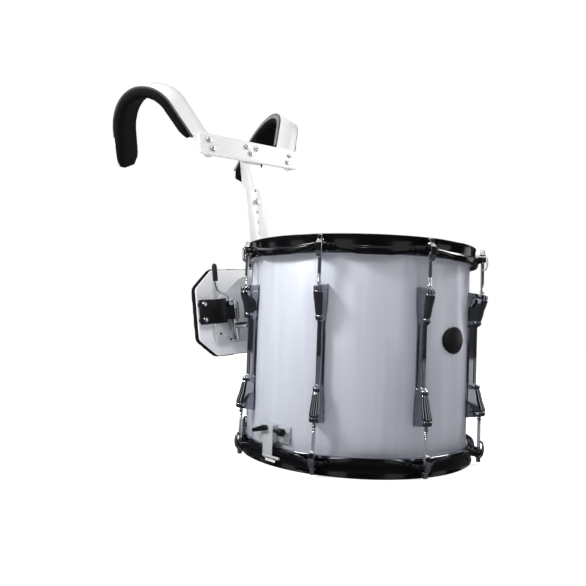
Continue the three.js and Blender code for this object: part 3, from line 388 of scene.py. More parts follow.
def newMaterial(name, metallic=0, coat=0, coatRoughness=0.05, sheen=0, ior=1.5):
    material = bpy.data.materials.new(name)
    material.use_nodes = True
    shader = material.node_tree.nodes["Principled BSDF"]
    shader.inputs["Metallic"].default_value = metallic
    shader.inputs["Coat Weight"].default_value = coat
    shader.inputs["Coat Roughness"].default_value = coatRoughness
    shader.inputs["Sheen Weight"].default_value = sheen
    shader.inputs["IOR"].default_value = ior
    return material, material.node_tree, shader


def setBump(tree, shader, height, strength, distance):
    bump = addNode(tree, "Bump")
    bump.inputs["Strength"].default_value = strength
    bump.inputs["Distance"].default_value = distance * mm
    tree.links.new(height, bump.inputs["Height"])
    tree.links.new(bump.outputs["Normal"], shader.inputs["Normal"])


# Paint or plating with coloured edges (rubbed wear on most finishes, painted shade on the pale pan), clouds of handling
# and a fine skin.
def finishMaterial(name, look):
    material, tree, shader = newMaterial(
        name, look.get("metallic", 0), look.get("coat", 0), look.get("coatRoughness", 0.05), look.get("sheen", 0), look.get("ior", 1.5)
    )
    clouds = useGroup(tree, handMarks, Size=look.get("cloudSize", 22), Amount=1)
    colour = blendColour(tree, clouds.outputs["Mask"], look["colour"], look.get("clouded", look["colour"]))
    if "edgeWearAndShade" in look:
        edges = useGroup(tree, edgeWearAndShadeGroup, Width=look.get("edgeWearAndShadeWidth", 0.8) * mm, Amount=look.get("edgeWearAndShadeAmount", 0.5))
        colour = blendColour(tree, edges.outputs["Mask"], colour, look["edgeWearAndShade"])
    if "lines" in look:
        lines = useGroup(tree, hairlines, Spread=look["lines"])
        colour = blendColour(tree, lines.outputs["Mask"], colour, look.get("lineColour", look["colour"]))
    tree.links.new(colour, shader.inputs["Base Color"])
    smoothness = mapRange(tree, clouds.outputs["Mask"], 0, 1, look["rough"], look.get("rougher", look["rough"] + 0.06))
    tree.links.new(smoothness, shader.inputs["Roughness"])
    if "pebbles" in look:
        skinGrain = useGroup(tree, pebbles, Size=look["pebbles"])
        setBump(tree, shader, skinGrain.outputs["Height"], look.get("grain", 0.1), look.get("grainDepth", 0.1))
    return material


# The wrap: silver white with a satin fleck that runs up and down, under clear lacquer.
def makeWrap(look):
    material, tree, shader = newMaterial("silver wrap", look["metallic"], look["coat"], look["coatRoughness"])
    streaks = noise(tree, objectPlace(tree, (1, 1, 0.05)), look["streakSize"], 6, 0.6)
    fleck = noise(tree, objectPlace(tree), look["fleckSize"], 2, 0.6)
    mask = mapRange(tree, mathNode(tree, "ADD", mathNode(tree, "MULTIPLY", streaks, 0.7), mathNode(tree, "MULTIPLY", fleck, 0.3)), 0.38, 0.62)
    colour = blendColour(tree, mask, look["colour"], look["fleck"])
    marks = useGroup(tree, hairlines, Spread=look["lines"])
    colour = blendColour(tree, marks.outputs["Mask"], colour, look["lineColour"])
    tree.links.new(colour, shader.inputs["Base Color"])
    tree.links.new(mapRange(tree, mask, 0, 1, look["rough"], look["rougher"]), shader.inputs["Roughness"])
    return material


# Film with a sprayed coating: a fine rough tooth and faint clouds of handling.
def makeFilm(look):
    material, tree, shader = newMaterial("coated film", 0, look["coat"], 0.3)
    tooth = noise(tree, objectPlace(tree), look["tooth"], 3, 0.7)
    clouds = useGroup(tree, handMarks, Size=look["cloudSize"], Amount=1)
    colour = blendColour(tree, clouds.outputs["Mask"], look["colour"], look["clouded"])
    tree.links.new(colour, shader.inputs["Base Color"])
    shader.inputs["Roughness"].default_value = look["rough"]
    shader.inputs["Subsurface Weight"].default_value = 0
    setBump(tree, shader, tooth, look["grain"], 0.05)
    return material


# Wound wire: fine turns all along each strand.
def makeWire(look):
    material, tree, shader = newMaterial("wound wire", 1)
    turns = addNode(tree, "TexWave")
    turns.inputs["Scale"].default_value = look["turns"]
    turns.bands_direction = "X"
    tree.links.new(objectPlace(tree), turns.inputs["Vector"])
    colour = blendColour(tree, turns.outputs["Fac"], look["colour"], look["bright"])
    tree.links.new(colour, shader.inputs["Base Color"])
    shader.inputs["Roughness"].default_value = look["rough"]
    setBump(tree, shader, turns.outputs["Fac"], 0.8, 0.3)
    return material


wrap = makeWrap({
    "colour": (0.63, 0.66, 0.76), "fleck": (0.68, 0.71, 0.79), "streakSize": 60, "fleckSize": 1400,
    "metallic": 0.15, "rough": 0.34, "rougher": 0.42, "coat": 0.6, "coatRoughness": 0.05,
    "lines": 0.12, "lineColour": (0.78, 0.79, 0.82),
})
hoopBlack = finishMaterial("gloss black steel", {
    "colour": (0.003, 0.003, 0.004), "clouded": (0.006, 0.006, 0.008), "rough": 0.12, "rougher": 0.2,
    "coat": 0.12, "coatRoughness": 0.04, "ior": 1.3, "edgeWearAndShade": (0.08, 0.08, 0.09), "edgeWearAndShadeAmount": 0.35, "lines": 0.2,
    "lineColour": (0.02, 0.02, 0.022),
})
chrome = finishMaterial("chrome", {
    "colour": (0.66, 0.67, 0.70), "clouded": (0.62, 0.63, 0.66), "metallic": 1, "rough": 0.05, "rougher": 0.10,
    "edgeWearAndShade": (0.86, 0.86, 0.86), "edgeWearAndShadeAmount": 0.5, "lines": 0.2, "lineColour": (0.6, 0.6, 0.63),
})
# Chrome darker than the rods': painted dark reflection on the lugs, standing in for dark surroundings mirrored in them,
# and painted shade on the head rims under the hoops.
chromePaintedDark = finishMaterial("chrome with painted dark reflection", {
    "colour": (0.27, 0.28, 0.32), "clouded": (0.24, 0.25, 0.28), "metallic": 1, "rough": 0.06, "rougher": 0.11,
    "edgeWearAndShade": (0.75, 0.75, 0.76), "edgeWearAndShadeAmount": 0.4, "lines": 0.15, "lineColour": (0.4, 0.4, 0.42),
})
film = makeFilm({
    "colour": (0.84, 0.84, 0.83), "clouded": (0.79, 0.79, 0.78), "cloudSize": 9, "rough": 0.5, "coat": 0.1,
    "tooth": 1600, "grain": 0.15,
})
whitePaint = finishMaterial("white powder paint", {
    "colour": (0.88, 0.88, 0.89), "clouded": (0.86, 0.86, 0.87), "rough": 0.3, "rougher": 0.38,
    "edgeWearAndShade": (0.62, 0.62, 0.62), "edgeWearAndShadeAmount": 0.25, "lines": 0.15, "lineColour": (0.76, 0.77, 0.78),
    "pebbles": 520, "grain": 0.06,
})
blackPaint = finishMaterial("black powder paint", {
    "colour": (0.004, 0.004, 0.005), "clouded": (0.007, 0.007, 0.008), "rough": 0.36, "rougher": 0.48, "ior": 1.3,
    "edgeWearAndShade": (0.16, 0.16, 0.17), "edgeWearAndShadeAmount": 0.7, "edgeWearAndShadeWidth": 0.7, "pebbles": 800, "grain": 0.12,
})
steel = finishMaterial("zinc steel", {
    "colour": (0.62, 0.63, 0.65), "clouded": (0.52, 0.53, 0.55), "metallic": 1, "rough": 0.22, "rougher": 0.36,
    "edgeWearAndShade": (0.8, 0.8, 0.8), "edgeWearAndShadeAmount": 0.5, "lines": 0.4, "lineColour": (0.45, 0.45, 0.47),
})
paleMetal = finishMaterial("pale satin metal", {
    "colour": (0.60, 0.62, 0.64), "clouded": (0.53, 0.55, 0.57), "metallic": 0.35, "rough": 0.3, "rougher": 0.4,
    "edgeWearAndShade": (0.34, 0.34, 0.34), "edgeWearAndShadeAmount": 0.7, "lines": 0.3, "lineColour": (0.55, 0.56, 0.56),
})
# The mount plate's pale pan: the near black along its edges, broken up by noise, is painted shade standing in for the
# shaded side faces of its folded edges.
panMetalWithPaintedEdgeShade = finishMaterial("pale pan with painted shade at its edges", {
    "colour": (0.68, 0.71, 0.71), "clouded": (0.60, 0.63, 0.63), "metallic": 0.3, "rough": 0.3, "rougher": 0.4,
    "edgeWearAndShade": (0.05, 0.05, 0.055), "edgeWearAndShadeAmount": 1, "edgeWearAndShadeWidth": 2, "lines": 0.3, "lineColour": (0.5, 0.51, 0.51),
})
plastic = finishMaterial("black plastic", {
    "colour": (0.005, 0.005, 0.006), "clouded": (0.009, 0.009, 0.010), "rough": 0.28, "rougher": 0.4, "ior": 1.3,
    "edgeWearAndShade": (0.06, 0.06, 0.06), "edgeWearAndShadeAmount": 0.5, "pebbles": 1400, "grain": 0.08,
})
pipingFinish = finishMaterial("vinyl piping", {
    "colour": (0.065, 0.065, 0.07), "clouded": (0.095, 0.095, 0.10), "rough": 0.32, "rougher": 0.42, "ior": 1.45,
    "edgeWearAndShade": (0.3, 0.3, 0.3), "edgeWearAndShadeAmount": 0.5, "pebbles": 900, "grain": 0.15,
})
rubber = finishMaterial("moulded rubber", {
    "colour": (0.010, 0.010, 0.011), "clouded": (0.020, 0.020, 0.021), "rough": 0.62, "rougher": 0.78, "ior": 1.3,
    "edgeWearAndShade": (0.09, 0.09, 0.09), "edgeWearAndShadeAmount": 0.5, "pebbles": 1100, "grain": 0.3,
})
foam = finishMaterial("closed cell foam", {
    "colour": (0.003, 0.003, 0.004), "clouded": (0.006, 0.006, 0.007), "cloudSize": 60, "rough": 0.82, "rougher": 0.92,
    "sheen": 0.02, "ior": 1.22, "edgeWearAndShade": (0.04, 0.04, 0.042), "edgeWearAndShadeAmount": 0.8, "edgeWearAndShadeWidth": 1.6, "pebbles": 620, "grain": 0.7, "grainDepth": 0.35,
})
wire = makeWire({"colour": (0.42, 0.42, 0.44), "bright": (0.78, 0.78, 0.80), "turns": 330, "rough": 0.25})
print("materials made")


# The drum

drum = {"radius": 176.8, "wall": 7.5, "height": 304.8, "hoopRise": 12, "rods": 8, "rodCircle": 196.3, "middle": 164.4}
drumTop = drum["height"] + 2 * drum["hoopRise"]
rodAngles = [(i + 0.5) * 360 / drum["rods"] for i in range(drum["rods"])]
strainerAngle = -92.7


def level(isTop, depth):
    return drumTop - depth if isTop else depth


def boxPiece(name, low, high, angle=0):
    points = [Vector((x, y, z)) for x in (low[0], high[0]) for y in (low[1], high[1]) for z in (low[2], high[2])]
    turn = Matrix.Rotation(math.radians(angle), 3, "Z")
    faces = [(0, 1, 3, 2), (4, 6, 7, 5), (0, 4, 5, 1), (2, 3, 7, 6), (0, 2, 6, 4), (1, 5, 7, 3)]
    return makeMesh(name, [onDrum(turn @ p) for p in points], faces)


def cutAway(piece, tools):
    for i, tool in enumerate(tools):
        hole = piece.modifiers.new(f"hole {i}", "BOOLEAN")
        hole.object = tool
        hole.solver = "EXACT"
    bpy.context.view_layer.objects.active = piece
    for i in range(len(tools)):
        bpy.ops.object.modifier_apply(modifier=f"hole {i}")
    for tool in tools:
        bpy.data.objects.remove(tool)


shell = {"stations": 180, "edge": 2.2, "ventAngle": 135, "vent": 6.9}


def makeShell():
    r, wall, top, foot = drum["radius"], drum["wall"], drumTop - drum["hoopRise"], drum["hoopRise"]
    edge = [(r - 0.66 * shell["edge"], 0.3), (r - 0.25 * shell["edge"], 0.85), (r, shell["edge"])]
    outline = [(x, foot + z) for x, z in edge] + [(x, top - z) for x, z in reversed(edge)]
    outline += [(r - wall, top - 5.3), (r - wall, foot + 5.3)]
    piece = ring("fine_shell", lambda angle: outline, shell["stations"])
    start, end = (around(shell["ventAngle"], r + way, drum["middle"]) for way in (-15, 15))
    cutAway(piece, [tube("vent", [start, end], shell["vent"], 32, onDrum)])
    return placed(piece, wrap, "shell")


def makeHead(isTop):
    depth = drum["hoopRise"] - 0.3
    inner, outer, seat, flesh = drum["radius"] + 0.3, drum["radius"] + 0.8, 18.1, 181.3
    outline = [(0.01, depth - 0.5), (0.6, depth - 0.5), (outer - 1.4, depth - 0.5), (outer - 0.5, depth), (outer, depth + 0.9), (outer, seat + 1),
               (inner, seat + 1), (inner, depth + 1.4), (inner - 1.4, depth), (0.6, depth), (0.01, depth)]
    rim = [(inner, seat), (flesh - 0.6, seat), (flesh, seat + 0.6), (flesh, seat + 7.4), (flesh - 0.6, seat + 8), (inner, seat + 8)]
    name = "batter_head" if isTop else "snare_head"
    # The flesh hoop takes the darkened chrome: painted shade for the hoop's shadow over it.
    placed(ring("rim_" + name, lambda angle: [(x, level(isTop, z)) for x, z in rim], 144), chromePaintedDark, body=bodyOf(name), slot=slotOf[name])
    piece = ring("fine_" + name, lambda angle: [(x, level(isTop, z)) for x, z in outline], 144)
    return placed(piece, film, name)


hoop = {"radius": 185, "wall": 2.3, "bead": 0.9, "flange": 5, "ear": 16, "flangeDepth": 18.2, "earDepth": 14.8,
        "roll": 2.2, "skirt": 28.5, "earSkirt": 21.4, "lipRadius": 178.4, "lipDepth": 15.5, "stations": 30}


def makeHoop(isTop):
    r, wall = hoop["radius"], hoop["wall"]
    inner = r - wall

    def outline(angle):
        away = min(abs((angle - rod + 180) % 360 - 180) for rod in rodAngles)
        ear, arch = 1 - smooth(away, 2, 6), 1 - smooth(away, 2, 17)
        rim = mix(hoop["flangeDepth"], hoop["earDepth"], arch)
        outer = r + mix(hoop["flange"], hoop["ear"], ear)
        roll = mix(hoop["roll"], 0.5, ear)
        under = rim + mix(hoop["roll"] + wall, 4.6, ear)
        skirt = mix(hoop["skirt"], hoop["earSkirt"], arch)
        bend = min(3.5, (outer - r) / 2)
        curve = [(r + bend * (1 - math.cos(t)), rim - bend + bend * math.sin(t)) for t in spread(5, 0, math.pi / 2)]
        fold = [(outer - roll * (1 - math.sin(t)), rim + roll * (1 - math.cos(t))) for t in spread(6, 0, math.pi / 2)]
        bead = hoop["bead"]
        top = [(inner + 0.1, 0.5), (inner + 0.6, 0.1), (r, 0), (r + bead * 0.8, 0.4), (r + bead, 1.2), (r + 0.5 * bead, 2.1), (r, 2.8)]
        tail = [(outer, skirt - 0.6), (outer - 0.5, skirt), (outer - wall + 0.5, skirt), (outer - wall, skirt - 0.6), (outer - wall, under + 0.5)]
        back = [(outer - wall - 0.4, under), (inner, under), (inner, hoop["lipDepth"] + wall), (hoop["lipRadius"], hoop["lipDepth"] + wall),
                (hoop["lipRadius"], hoop["lipDepth"]), (inner, hoop["lipDepth"])]
        return [(x, level(isTop, z)) for x, z in top + curve + fold[1:] + tail + back]

    name = "top_hoop" if isTop else "bottom_hoop"
    piece = ring("fine_" + name, outline, drum["rods"] * hoop["stations"])
    if not isTop:
        gates = [boxPiece(f"gate {i}", (-13.5, -190, 4.6), (13.5, -176, 12.4), strainerAngle + (1.5, 180)[i]) for i in range(2)]
        cutAway(piece, gates)
    for face in piece.data.polygons:
        face.use_smooth = True
    bevel(piece, 0.25, 1, 50)
    return placed(piece, hoopBlack, name)


makeShell()
for end in (True, False):
    makeHead(end)
    makeHoop(end)
print("shell, heads and hoops made")

lug = {"half": 95.7, "slant": 4.2, "flange": 2.4, "depth": 28, "back": 177.1, "sides": 15}
# Height share, width, depth, base width and end slant of one half of a lug.
lugStops = [(0.0, 7.6, 13.6, 11.2, 0), (0.43, 7.6, 13.6, 11.2, 0), (0.448, 8.2, 14.4, 11.2, 0), (0.466, 10.0, 17.2, 11.4, 0),
            (0.482, 11.2, 18.9, 11.6, 0), (0.495, 11.6, 19.4, 11.6, 0), (0.525, 11.6, 19.4, 11.6, 0), (0.54, 11.0, 18.6, 11.6, 0),
            (0.548, 11.3, 19.2, 12.0, 0), (0.6, 12.4, 21.0, 13.4, 0), (0.72, 14.2, 23.6, 15.2, 0), (0.8, 15.0, 26.2, 15.4, 0.2),
            (0.88, 15.4, 28, 15.4, 0.5), (0.905, 15.4, 28, 15.4, 0.7), (0.912, 14.6, 27.2, 15.4, 0.75), (0.925, 14.6, 27.2, 15.4, 0.8),
            (0.932, 15.4, 28, 15.4, 0.85), (0.975, 15.4, 28, 15.4, 1), (0.992, 15.0, 27.6, 15.0, 1), (1.0, 13.6, 26.2, 14.2, 1)]


def makeLug(index, angle):
    turn = Matrix.Rotation(math.radians(angle), 3, "Z")

    def loop(stop, sign):
        share, width, depth, base, slant = stop
        straight = max(depth - width * 0.62, lug["flange"] + 1)
        arc = [(width / 2 * math.cos(t), straight + (depth - straight) * math.sin(t)) for t in spread(lug["sides"], 0, math.pi)]
        edge = [(base / 2, 0), (base / 2, lug["flange"] * 0.75), (base / 2 - 0.4, lug["flange"])]
        outline = edge + [(width / 2, lug["flange"] + 0.5)] + arc + [(-width / 2, lug["flange"] + 0.5)] + [(-x, d) for x, d in reversed(edge)]
        points = []
        for x, d in outline:
            drop = slant * lug["slant"] * d / lug["depth"]
            points.append(turn @ Vector((x, -lug["back"] - d, drum["middle"] + sign * (share * lug["half"] - drop))))
        return points

    loops = [loop(stop, -1) for stop in reversed(lugStops)] + [loop(stop, 1) for stop in lugStops[1:]]
    name = f"lug_{index}"
    piece = skin("fine_" + name, loops)
    bevel(piece, 0.35, 2, 40)
    return placed(piece, chromePaintedDark, name)


rod = {"sides": 28, "radius": 2.6, "collar": 3.6, "headHalf": 3.1, "flange": 5.2, "threadPitch": 0.9}
claw = {"sheet": 1.9, "rise": 1.6, "leg": 16, "bulge": 1.2, "curl": 5.5, "width": 8.4, "topWidth": 7}


def turnedOnRod(name, outline, angle, isTop, count=None):
    loops = []
    for r, z in outline:
        centre = around(angle, drum["rodCircle"], z if isTop else drumTop - z)
        loops.append([centre + Vector((r * math.cos(t), r * math.sin(t), 0)) for t in spread((count or rod["sides"]) + 1, 0, 2 * math.pi)[:-1]])
    return skin(name, loops)


def makeTensionRod(index, angle, isTop):
    earTop = drumTop - 14.8
    seat = earTop + 0.3
    lugEnd, clawTop = drum["middle"] + 95.7, seat + claw["sheet"] + claw["rise"]
    r, c = rod["radius"], rod["collar"]
    threads = []
    z = lugEnd + 3.4
    while z < lugEnd + 12:
        threads += [(r, z), (r - 0.35, z + rod["threadPitch"] / 2)]
        z += rod["threadPitch"]
    shaft = [(r, lugEnd - 13.2), (r, lugEnd + 0.3), (c, lugEnd + 0.3), (c, lugEnd + 1.5), (c - 0.5, lugEnd + 2.2), (r, lugEnd + 2.4)]
    shaft += threads + [(r, z), (r, clawTop - 2)]
    shaft += [(4.4, clawTop - 1.6), (rod["flange"], clawTop - 0.6), (rod["flange"], clawTop + 0.6), (4.9, clawTop + 1.2), (3.2, clawTop + 1.4)]
    stem = turnedOnRod(f"shaft {index}", shaft, angle, isTop)
    turn = Matrix.Rotation(math.radians(angle), 3, "Z")
    half, low, high = rod["headHalf"], clawTop + 1.2, clawTop + 8.1
    head = []
    for z, size in ((low, half), (high - 0.7, half), (high, half - 0.7)):
        short = size - 0.5
        corners = [(size, short), (short, size), (-short, size), (-size, short), (-size, -short), (-short, -size), (short, -size), (size, -short)]
        head.append([turn @ Vector((x, y - drum["rodCircle"], z if isTop else drumTop - z)) for x, y in corners])
    cap = skin(f"cap {index}", head)
    # The claw: a cap over the ear with a bulged leg down its face, curled in at the foot.
    wall, outer, legEnd, thick = 185.3, 201.3, seat - claw["leg"], claw["sheet"]
    bulge = [(outer + thick + claw["bulge"] * math.sin(t), mix(legEnd, seat + 0.6, t / math.pi)) for t in spread(9, 0, math.pi)]
    foot = outer - claw["curl"]
    side = [(wall + 1, seat), (outer, seat), (outer, legEnd), (outer - 2.2, legEnd - 2.2), (foot, legEnd - 2.7), (foot, legEnd - 4.5)]
    side += [(outer - 1.2, legEnd - 4), (outer + 1.2, legEnd - 2.2)] + bulge
    side += [(outer + 0.6, seat + 2.4), (outer - thick, clawTop), (wall + 1, clawTop)]
    loops = []
    for share in (-1, -0.82, 0.82, 1):
        rim = []
        for d, z in side:
            width = mix(claw["width"], claw["topWidth"], smooth(z, seat, clawTop)) * mix(0.7, 1, smooth(z, legEnd - 4.5, legEnd + 5))
            rim.append(turn @ Vector((width / 2 * share, -d, z if isTop else drumTop - z)))
        loops.append(rim)
    clawPart = skin(f"claw {index}", loops)
    name = f"tension_rod_{'top' if isTop else 'bottom'}_{index}"
    piece = joinPieces("fine_" + name, [stem, cap, clawPart])
    bevel(piece, 0.4, 2, 38)
    return placed(piece, chrome, name)


for number, place in enumerate(rodAngles, 1):
    makeLug(number, place)
    for end in (True, False):
        makeTensionRod(number, place, end)
print("lugs and tension rods made")

for node, material, width in (
    ("vent_grommet", chrome, 0.4), ("badge", plastic, 0.5), ("strainer_body", paleMetal, 0.5), ("strainer_lever", plastic, 0.7),
    ("tension_knob", plastic, 0.5), ("strainer_strap", paleMetal, 0.25), ("butt_plate", chrome, 0.6), ("butt_strap", steel, 0.25),
    ("receiver_right", chrome, 0.7), ("receiver_left", chrome, 0.7),
):
    dressed(node, material, width)

snares = {"strands": 10, "pitch": 3.6, "radius": 0.6, "half": 150}


def makeSnares():
    turn = Matrix.Rotation(math.radians(strainerAngle), 3, "Z")
    top = 12 - 0.3 - 0.5 - 0.3
    parts = []
    for i in range(snares["strands"]):
        x = (i - (snares["strands"] - 1) / 2) * snares["pitch"]
        ends = [turn @ Vector((x, y, top - snares["radius"])) for y in (-snares["half"], snares["half"])]
        parts.append(tube(f"strand {i}", ends, snares["radius"], 10, onDrum))
    for side in (-1, 1):
        inner, outer = sorted((side * (snares["half"] - 13), side * (snares["half"] + 0.6)))
        parts.append(boxPiece(f"end {side}", (-18, inner, top - 1.3), (18, outer, top - 0.1), strainerAngle))
    return placed(joinPieces("fine_snares", parts), wire, "snares")


makeSnares()
print("strainer, butt and snares made")


# The carrier

def roundedCorners(corners, radius, steps=8):
    points = []
    for i, corner in enumerate(corners):
        here, before, after = (Vector(corners[(i + k) % len(corners)]) for k in (0, -1, 1))
        start = here + (before - here).normalized() * radius
        end = here + (after - here).normalized() * radius
        points += [start * (1 - t) ** 2 + here * 2 * t * (1 - t) + end * t * t for t in spread(steps, 0, 1)]
    return points


def circle(x, z, radius, count=32):
    return [Vector((x + radius * math.cos(t), z + radius * math.sin(t))) for t in spread(count + 1, 0, 2 * math.pi)[:-1]]


# A flat sheet on the carrier, broken along its edges, from outlines of [across, up].
def sheetPiece(name, outlines, back, front, edge):
    curve = bpy.data.curves.new(name, "CURVE")
    curve.dimensions = "2D"
    curve.fill_mode = "BOTH"
    curve.extrude = (back - front) / 2 - edge
    curve.bevel_depth = edge
    curve.offset = -edge
    curve.bevel_resolution = 2
    for outline in outlines:
        line = curve.splines.new("POLY")
        line.points.add(len(outline) - 1)
        for point, corner in zip(line.points, outline):
            point.co = (corner.x, corner.y, 0, 1)
        line.use_cyclic_u = True
    drawn = bpy.data.objects.new(name + " outline", curve)
    bpy.context.scene.collection.objects.link(drawn)
    mesh = bpy.data.meshes.new_from_object(drawn.evaluated_get(bpy.context.evaluated_depsgraph_get()))
    bpy.data.objects.remove(drawn)
    bpy.data.curves.remove(curve)
    middle = (back + front) / 2
    for vertex in mesh.vertices:
        x, z, y = vertex.co
        vertex.co = onCarrier((x, middle - y, z))
    work = bmesh.new()
    work.from_mesh(mesh)
    bmesh.ops.remove_doubles(work, verts=work.verts, dist=0.00001)
    bmesh.ops.recalc_face_normals(work, faces=work.faces)
    work.to_mesh(mesh)
    work.free()
    piece = bpy.data.objects.new(name, mesh)
    bpy.context.scene.collection.objects.link(piece)
    for face in mesh.polygons:
        face.use_smooth = True
    mesh.set_sharp_from_angle(angle=math.radians(35))
    return piece


# A turned form whose axis runs along the carrier's depth, from [radius, depth] pairs.
def turnedAcross(name, outline, x, z, count=28):
    loops = [[Vector((x + r * math.cos(t), y, z + r * math.sin(t))) for t in spread(count + 1, 0, 2 * math.pi)[:-1]] for r, y in outline]
    piece = skin(name, loops, False, onCarrier)
    piece.data.set_sharp_from_angle(angle=math.radians(35))
    return piece


# A bolt head with a socket, domed at its edge; the face looks to the front.
def boltHead(name, x, z, seat, radius=5.2, high=4):
    face = seat - high
    outline = [(radius, seat), (radius, face + 0.8), (radius - 0.35, face + 0.25), (radius - 0.9, face),
               (radius * 0.5, face), (radius * 0.46, face + 0.3), (radius * 0.46, face + 2.2), (0.05, face + 2.4)]
    return turnedAcross(name, outline, x, z)


# A plain domed head.
def domeHead(name, x, z, seat, radius, high):
    rise = [(radius * math.cos(t), seat - high * (0.45 + 0.55 * math.sin(t))) for t in spread(7, 0, math.radians(88))]
    return turnedAcross(name, [(radius, seat)] + rise, x, z)


plate = {"half": 158.5, "top": 83, "bottom": -71.4, "cutWide": 37.5, "cutTop": 33, "cutBottom": 31, "corner": 5, "sheet": 3}


def plateCorners(grow=0):
    side, top, bottom = plate["half"] + grow, plate["top"] + grow, plate["bottom"] - grow
    shoulder = side - plate["cutWide"]
    return [(-shoulder, bottom), (shoulder, bottom), (side, bottom + plate["cutBottom"]), (side, top - plate["cutTop"]),
            (shoulder, top), (-shoulder, top), (-side, top - plate["cutTop"]), (-side, bottom + plate["cutBottom"])]


placed(sheetPiece("fine_belly_plate", [roundedCorners(plateCorners(), plate["corner"])], plate["sheet"], 0, 0.9), whitePaint, "belly_plate")
dressed("mount_plate", panMetalWithPaintedEdgeShade, 0.7)

post = {"half": 25, "low": -47.2, "top": 245, "corner": 6, "back": -0.6, "front": -5.6, "holes": (152.7, 173.9, 195.1, 216, 238)}


def makePost():
    half = post["half"]
    outline = roundedCorners([(-half, post["low"]), (half, post["low"]), (half, post["top"]), (-half, post["top"])], post["corner"])
    holes = [circle(0, z, 3) for z in post["holes"]]
    placed(sheetPiece("fine_post", [outline] + holes, post["back"], post["front"], 0.6), whitePaint, "post")


makePost()
dressed("height_bolt", steel, 0.5)
dressed("stem", whitePaint, 0.5)

yoke = {"half": 126, "bottom": 295, "top": 335, "corner": 9, "bolts": [(-13, 323.5), (13, 323.5), (-4, 311)]}
arm = {"width": 44.4, "shift": 1.5, "sheet": 4, "footX": 100.5, "footZ": 312.4, "footY": 5.66, "footLength": 18, "start": 18.3, "rise": 97.8,
       "turn": 139.7, "turnFrom": 55.8, "turnTo": 106.7, "run": 70, "lean": 25.3, "toe": 13.7, "blend": 34, "firstBolt": 3, "boltPitch": 17}


def makeYoke():
    half = yoke["half"]
    outline = roundedCorners([(-half, yoke["bottom"]), (half, yoke["bottom"]), (half, yoke["top"]), (-half, yoke["top"])], yoke["corner"])
    sheet = sheetPiece("fine_yoke", [outline], post["back"], post["front"], 0.7)
    lean = math.radians(arm["lean"])
    places = list(yoke["bolts"])
    for row in (0, 1):
        up = arm["firstBolt"] - arm["boltPitch"] / 2 + row * arm["boltPitch"]
        out = arm["footX"] + up * math.sin(lean)
        places += [(side * out, arm["footZ"] + up * math.cos(lean)) for side in (-1, 1)]
    placed(sheet, whitePaint, "yoke")
    for i, (x, z) in enumerate(places):
        placed(boltHead(f"yoke_bolt_{i + 1}", x, z, post["front"] + 0.2, 5.2, 3.8), steel, body=bodyOf("yoke"), slot="carrier_steel")


makeYoke()


# Frames along a shoulder arm: centre, way across, way out of the arch and the distance walked.
def armFrames(side):
    lean, toe, footY = math.radians(arm["lean"]), math.radians(arm["toe"]), -0.3 + arm["sheet"] / 2

    def place(x, y, z, turn):
        x, z = x * math.cos(lean) + z * math.sin(lean), -x * math.sin(lean) + z * math.cos(lean)
        return Vector((-(x * math.cos(turn) + y * math.sin(turn)), -x * math.sin(turn) + y * math.cos(turn), z))

    foot = Vector((-arm["footX"], footY, arm["footZ"]))
    frames = [(place(0, 0, up, 0) + foot, place(1, 0, 0, 0), Vector((0, -1, 0)), up) for up in spread(5, -arm["footLength"], 0)]
    back, up, walked, heading = 0, 0, 0, math.radians(arm["start"])
    stops = [(arm["rise"] / 18, 0)] * 18
    turn, count = math.radians(arm["turn"]) / 66, 66
    stops += [(turn * mix(arm["turnFrom"], arm["turnTo"], (i + 0.5) / count), turn) for i in range(count)]
    stops += [(arm["run"] / 24, 0)] * 24
    for length, bend in stops:
        heading += bend / 2
        back, up = back + math.sin(heading) * length, up + math.cos(heading) * length
        heading += bend / 2
        walked += length
        share = smooth(walked, 0, arm["blend"])
        centre = place(0, back, up, toe)
        centre.y += mix(footY, arm["footY"], share)
        centre += Vector((-arm["footX"], 0, arm["footZ"]))
        frames.append((centre, place(1, 0, 0, toe * share), place(0, -math.cos(heading), math.sin(heading), toe), walked))
    if side > 0:
        flip = Vector((-1, 1, 1))
        frames = [tuple(v * flip for v in frame[:3]) + (frame[3],) for frame in frames]
    return frames


def makeArm(side):
    frames = armFrames(side)
    half, thick, last, edge = arm["width"] / 2, arm["sheet"] / 2, frames[-1][3], 0.8
    near = 0.965
    section = [(-1, edge - thick), (-near, -thick), (near, -thick), (1, edge - thick), (1, thick - edge), (near, thick), (-near, thick), (-1, thick - edge)]
    loops = []
    for centre, way, out, walked in frames:
        fromEnd = min(max(min(walked + arm["footLength"], last - walked) / half, 0), 1)
        wide = half * mix(0.62, 1, math.sqrt(1 - (1 - fromEnd) ** 2))
        loops.append([centre + way * (a * wide - arm["shift"]) + out * o for a, o in section])
    name = "shoulder_arm_right" if side < 0 else "shoulder_arm_left"
    piece = skin("fine_" + name, loops, False, onCarrier)
    piece.data.set_sharp_from_angle(angle=math.radians(50))
    placed(piece, whitePaint, name)
    rise = (frames[4][0] - frames[0][0]).normalized()
    for row in (0, 1):
        middle = frames[4][0] + rise * (arm["firstBolt"] - arm["boltPitch"] / 2 + row * arm["boltPitch"])
        nut = [(4.9, middle.y + 1.2), (4.9, middle.y + 5.4), (4.3, middle.y + 6), (2.6, middle.y + 6), (2.4, middle.y + 7.2), (0.05, middle.y + 7.4)]
        nutPiece = turnedAcross(f"arm_nut_{name[13:]}_{row + 1}", nut, middle.x, middle.z, 24)
        placed(nutPiece, steel, body=bodyOf(name), slot="carrier_steel")


# The grey piping of a pad: a narrow one along the outer edge of its arm, a tall one down its inner side.
piping = {
    "outer": {"from": 26, "to": 60, "past": [0.2, 0.2], "lift": -0.4, "across": 1, "tall": 2.5},
    "inner": {"from": 32, "to": 14, "past": [1.6, 4.9], "lift": -5.5, "across": 0.9, "tall": 6},
}


